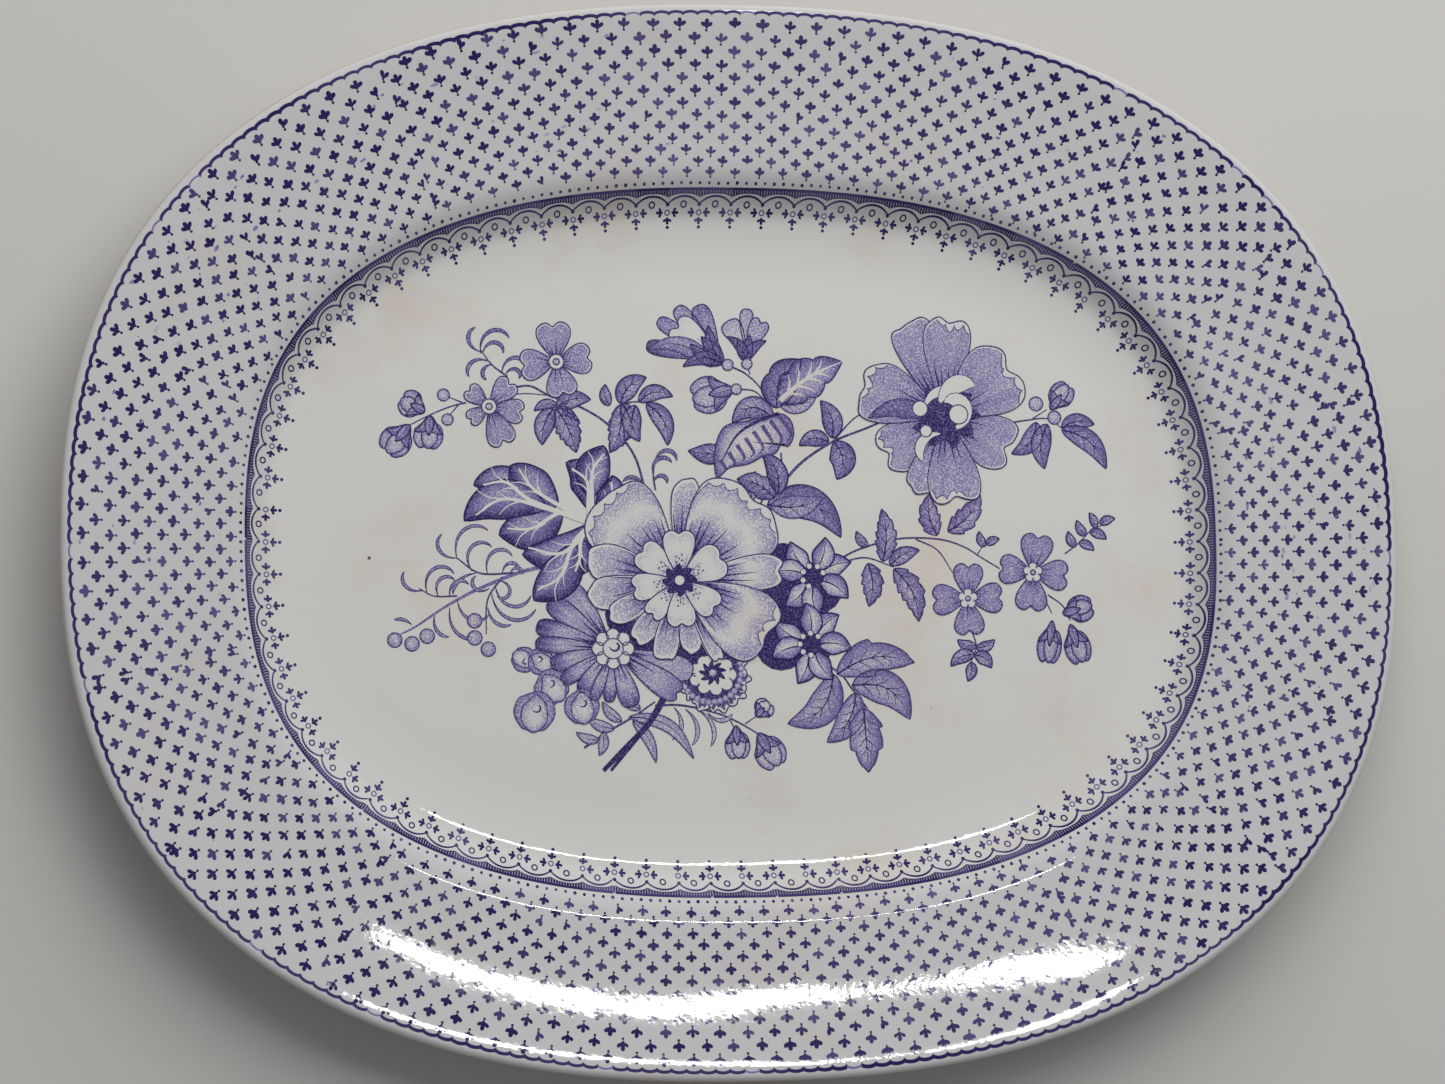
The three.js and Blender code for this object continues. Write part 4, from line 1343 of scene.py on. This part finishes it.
aster = Transfer()
ASTER_HEART = (-33, -28)
layer = 20
for heading, length, spread, notch, tip_tone in (
        (126, 20.5, 15, 0.0, 0.6), (143, 21, 13, 0.0, 0.85), (163, 21, 12, 0.0, 1.0),
        (176, 20.5, 10, 0.0, 0.95), (-17, 22, 14, 0.0, 0.4), (-35, 21.5, 15, 0.05, 0.6),
        (194, 17, 13, 0.0, 0.9), (212, 16, 12, 0.0, 0.85), (236, 14.5, 20, 0.04, 0.9),
        (-95, 14, 11, 0.0, 0.9), (-112, 14.5, 10, 0.0, 0.8), (-72, 16, 16, 0.0, 0.8)):
    petal(aster, ASTER_HEART, heading, length, spread, layer, (1.0, 0.46, 0.3, tip_tone * 0.95),
          root=0.2, notch=notch, veins=5)
    layer += 2
for knob in round_about(ASTER_HEART, 8, 3.9, 3.6):
    ball(aster, knob, 1.75, layer, 0.02)
ball(aster, ASTER_HEART, 2.7, layer + 2, 0.12)
curl(aster, (-34, -27.5), -60, 5.0, 240, layer + 4, 0.5, 0.9)
add_engraving("bouquet_aster", aster)

great_flower = Transfer()
HEART = (-15, -10)
layer = 50
PALE, MIDDLE = (1.0, 0.72, 0.06, 0.4), (1.0, 0.95, 0.34, 0.16)
for heading, length, spread, notch, tones, rim_span, rim_lobes in (
        (84, 27, 14, 0.0, MIDDLE, None, 0), (133, 30, 33, 0.03, PALE, (-0.5, 0.85), 5),
        (46, 31, 38, 0.06, PALE, (-0.55, 0.9), 7), (6, 28, 16, 0.03, PALE, None, 0),
        (166, 25, 19, 0.0, MIDDLE, None, 0), (190, 24.5, 17, 0.0, MIDDLE, None, 0),
        (208, 21, 15, 0.0, MIDDLE, None, 0), (-126, 20, 15, 0.0, MIDDLE, None, 0),
        (-103, 21.5, 15, 0.0, MIDDLE, None, 0), (-80, 19.5, 14, 0.0, MIDDLE, None, 0),
        (-64, 23.5, 8, 0.0, MIDDLE, None, 0), (-33, 28.5, 31, 0.03, PALE, (-0.2, 0.6), 3)):
    broad = rim_span is not None
    petal(great_flower, HEART, heading, length, spread, layer, tones, notch, 0.015,
          rim=0.1 if broad else 0.0, rim_span=rim_span, rim_lobes=rim_lobes,
          lining=0.2 if broad else 0.7, veins=21 if broad else 9,
          vein_reach=0.4 if broad else 0.56)
    layer += 3
for heading, length, spread in ((142, 13.5, 28), (90, 13.5, 29), (-170, 13.0, 25),
                                (-130, 12.5, 21), (-88, 12.5, 28), (-38, 12.5, 28),
                                (28, 13.5, 33)):
    petal(great_flower, HEART, heading, length, spread, layer, (0.5, 0.2, 0.06, 0.22),
          notch=0.08, lining=0.5, veins=5)
    ray = np.array([math.cos(math.radians(heading)), math.sin(math.radians(heading))])
    for dot in range(7):
        away = 3.8 + 0.5 * dot
        aside = (dot % 3 - 1) * 0.7
        centre = np.asarray(HEART) + ray * away + np.array([-ray[1], ray[0]]) * aside
        ball(great_flower, centre, 0.24, layer + 2, 1.0, 0.0, 0.0)
    layer += 2
for tip in round_about(HEART, 8, 4.6, 4.2):
    blade(great_flower, HEART, tip, 2.6, layer + 1, tones=(1.0, 1.0), vein=None)
ball(great_flower, HEART, 2.9, layer + 2, 1.0, 0.0, 0.0)
ball(great_flower, HEART, 1.25, layer + 4, 0.04, 0.0)
add_engraving("bouquet_great_flower", great_flower)


# ---- Bouquet: foot -----------------------------------------------------------------------
# Under the flowers: the cut stems, a spray of five broad leaves to the right, a curved stem
# with hanging buds, and pale rounded seed pods to the left.

foot_sprays = Transfer()
blade(foot_sprays, (9, 10), (29, 2), 9.0, 4, 0.22, tones=(0.4, 1.0), sides=5, hook=-0.3)
blade(foot_sprays, (10, 10), (24, 12), 6.0, 6, -0.1, tones=(0.3, 0.8), sides=3)
stem(foot_sprays, [(5, 6), (8, 12)], 0.8, 2)
for tip, root in (((2, 17), (4, 10)), ((6, 19), (5, 11))):
    blade(foot_sprays, root, tip, 3.0, 2, 0.1, tones=(0.25, 0.6), sides=2)
stem(foot_sprays, [(22, -31), (28, -35), (31, -39), (35, -44)], 0.6, 8)
leaves(foot_sprays, [
    ((27, -35), (48, -32), 9.0, 0.14, 2), ((31, -38), (46.5, -47), 9.0, 0.22),
    ((26, -35), (13.5, -48), 8.5, 0.22), ((32, -40), (24, -53), 7.0, 0.14),
    ((34, -44), (35, -61), 9.0, 0.0, 3)], 9, (0.25, 0.92), sides=4)
for points, width in (([(-19, -40), (-24, -48), (-31, -55), (-36, -60)], 1.9),
                      ([(-24, -48), (-29, -54), (-34, -60)], 1.3)):
    stem(foot_sprays, points, width, 16, 1.0)
stem(foot_sprays, [(-41, -54), (-35, -50), (-28, -46), (-22, -42)], 0.7, 10)
leaves(foot_sprays, [
    ((-29, -46), (-12, -57), 3.4, 0.18), ((-28, -47), (-22, -58), 2.8, 0.1),
    ((-31, -47), (-36, -42), 2.6, 0.1), ((-33, -49), (-40, -46), 2.8, 0.1),
    ((-36, -50), (-37, -56), 2.6, 0.1), ((-37, -52), (-43, -50), 2.4, 0.1),
    ((-26, -44), (-31, -39), 2.8, 0.1)], 11, (0.25, 0.6), sides=0)
stem(foot_sprays, [(-22, -43), (-15, -43), (-6, -45), (0, -47.5), (6, -51)], 0.6, 4)
curls(foot_sprays, [((-17, -43.5), -50, 10, -110), ((-14, -44), -40, 11, -100),
                    ((-11, -44), -30, 12, -100), ((-8, -45), -50, 8, 120)], 5, 1.1, 0.3)
stems(foot_sprays, [([(-2, -47), (-1, -49)], 0.4), ([(2, -48), (5, -46)], 0.4)], 4)
bud(foot_sprays, (-0.5, -48.5), (0, -57), 6.0, 6, 0.35)
bud(foot_sprays, (5.5, -50.5), (10.5, -59), 7.5, 6, 0.35)
bud(foot_sprays, (5, -46), (8.5, -42.5), 5.0, 6, 0.25)
layer = 2
for (x, y), size, turn in (((-56.5, -30.8), 3.3, 150), ((-52.3, -31.2), 3.5, -30),
                           ((-49.5, -37.8), 4.6, -50), ((-54, -44.2), 5.4, -95),
                           ((-41.5, -43), 4.6, -80)):
    ahead = np.array([math.cos(math.radians(turn)), math.sin(math.radians(turn))])
    beside = np.array([-ahead[1], ahead[0]])
    middle = np.array([x, y], float)
    outside = [(-0.95, 0.0), (-0.7, 0.7), (0.1, 1.0), (0.8, 0.62), (0.92, 0.3), (0.84, 0.0),
               (0.92, -0.3), (0.8, -0.62), (0.1, -1.0), (-0.7, -0.7)]
    inside = [(-0.8, 0.0), (-0.3, 0.55), (0.5, 0.62), (0.98, 0.2), (0.98, -0.2), (0.5, -0.62),
              (-0.3, -0.55)]
    for outline, tones in ((outside, (0.3, 0.42, 0.55)), (inside, (0.12, 0.24, 0.5))):
        patch(foot_sprays, [tuple(middle + size * (a * ahead + b * beside)) for a, b in outline],
              layer, tones, line_ink=0.85)
        layer += 2
    curl(foot_sprays, middle - size * 0.1 * beside, turn + 60, size * 0.7, 200, layer, 0.3, 0.7)
    layer += 2
add_engraving("bouquet_foot_sprays", foot_sprays)


# ---- Floor and light ---------------------------------------------------------------------
# A plain pale floor, a strip softbox high over the far side, a broad fill beyond the far edge
# and a dim dome. Of these only the strip shows in the glaze as long highlights: the fill is
# kept out of reflections.

KEY_DIRECTION = (0.18, 0.285, 0.942)
KEY_DISTANCE = 1.5
KEY_SIZE = (0.068, 0.023)
KEY_POWER = 0.215
FILL_PLACE = (0.22, 0.74, 0.86)
FILL_SIZE = 1.3
FILL_POWER = 13.0
DOME_STRENGTH = 0.23

FLOOR_REACH = 5.0

floor_mesh = bpy.data.meshes.new("floor")
corners = [(x * FLOOR_REACH, y * FLOOR_REACH, 0) for x, y in ((-1, -1), (1, -1), (1, 1), (-1, 1))]
floor_mesh.from_pydata(corners, [], [(0, 1, 2, 3)])
floor = bpy.data.objects.new("floor", floor_mesh)
bpy.context.scene.collection.objects.link(floor)
floor_paint, tree, output = new_material("pale_paper_floor")
floor_surface = add_node(tree, "BsdfPrincipled", {"Base Color": linear("#d3d1ce"),
                                                  "Roughness": 0.9})
tree.links.new(floor_surface.outputs["BSDF"], output.inputs["Surface"])
floor_mesh.materials.append(floor_paint)


def add_softbox(name, place, size, power):
    light = bpy.data.lights.new(name, "AREA")
    light.shape = "RECTANGLE"
    light.size, light.size_y = size
    light.energy = power
    softbox = bpy.data.objects.new(name, light)
    bpy.context.scene.collection.objects.link(softbox)
    softbox.location = place
    softbox.rotation_euler = Vector(place).to_track_quat("Z", "Y").to_euler()
    return softbox


add_softbox("strip", Vector(KEY_DIRECTION).normalized() * KEY_DISTANCE, KEY_SIZE, KEY_POWER)
fill = add_softbox("fill", FILL_PLACE, (FILL_SIZE, FILL_SIZE), FILL_POWER)
fill.data.color = linear("#fffefa")[:3]
fill.visible_glossy = False

world = bpy.data.worlds.new("studio")
bpy.context.scene.world = world
world.use_nodes = True
sky = world.node_tree.nodes["Background"]
sky.inputs["Color"].default_value = linear("#f2f4f9")
sky.inputs["Strength"].default_value = DOME_STRENGTH

bpy.context.scene.view_settings.view_transform = "Standard"
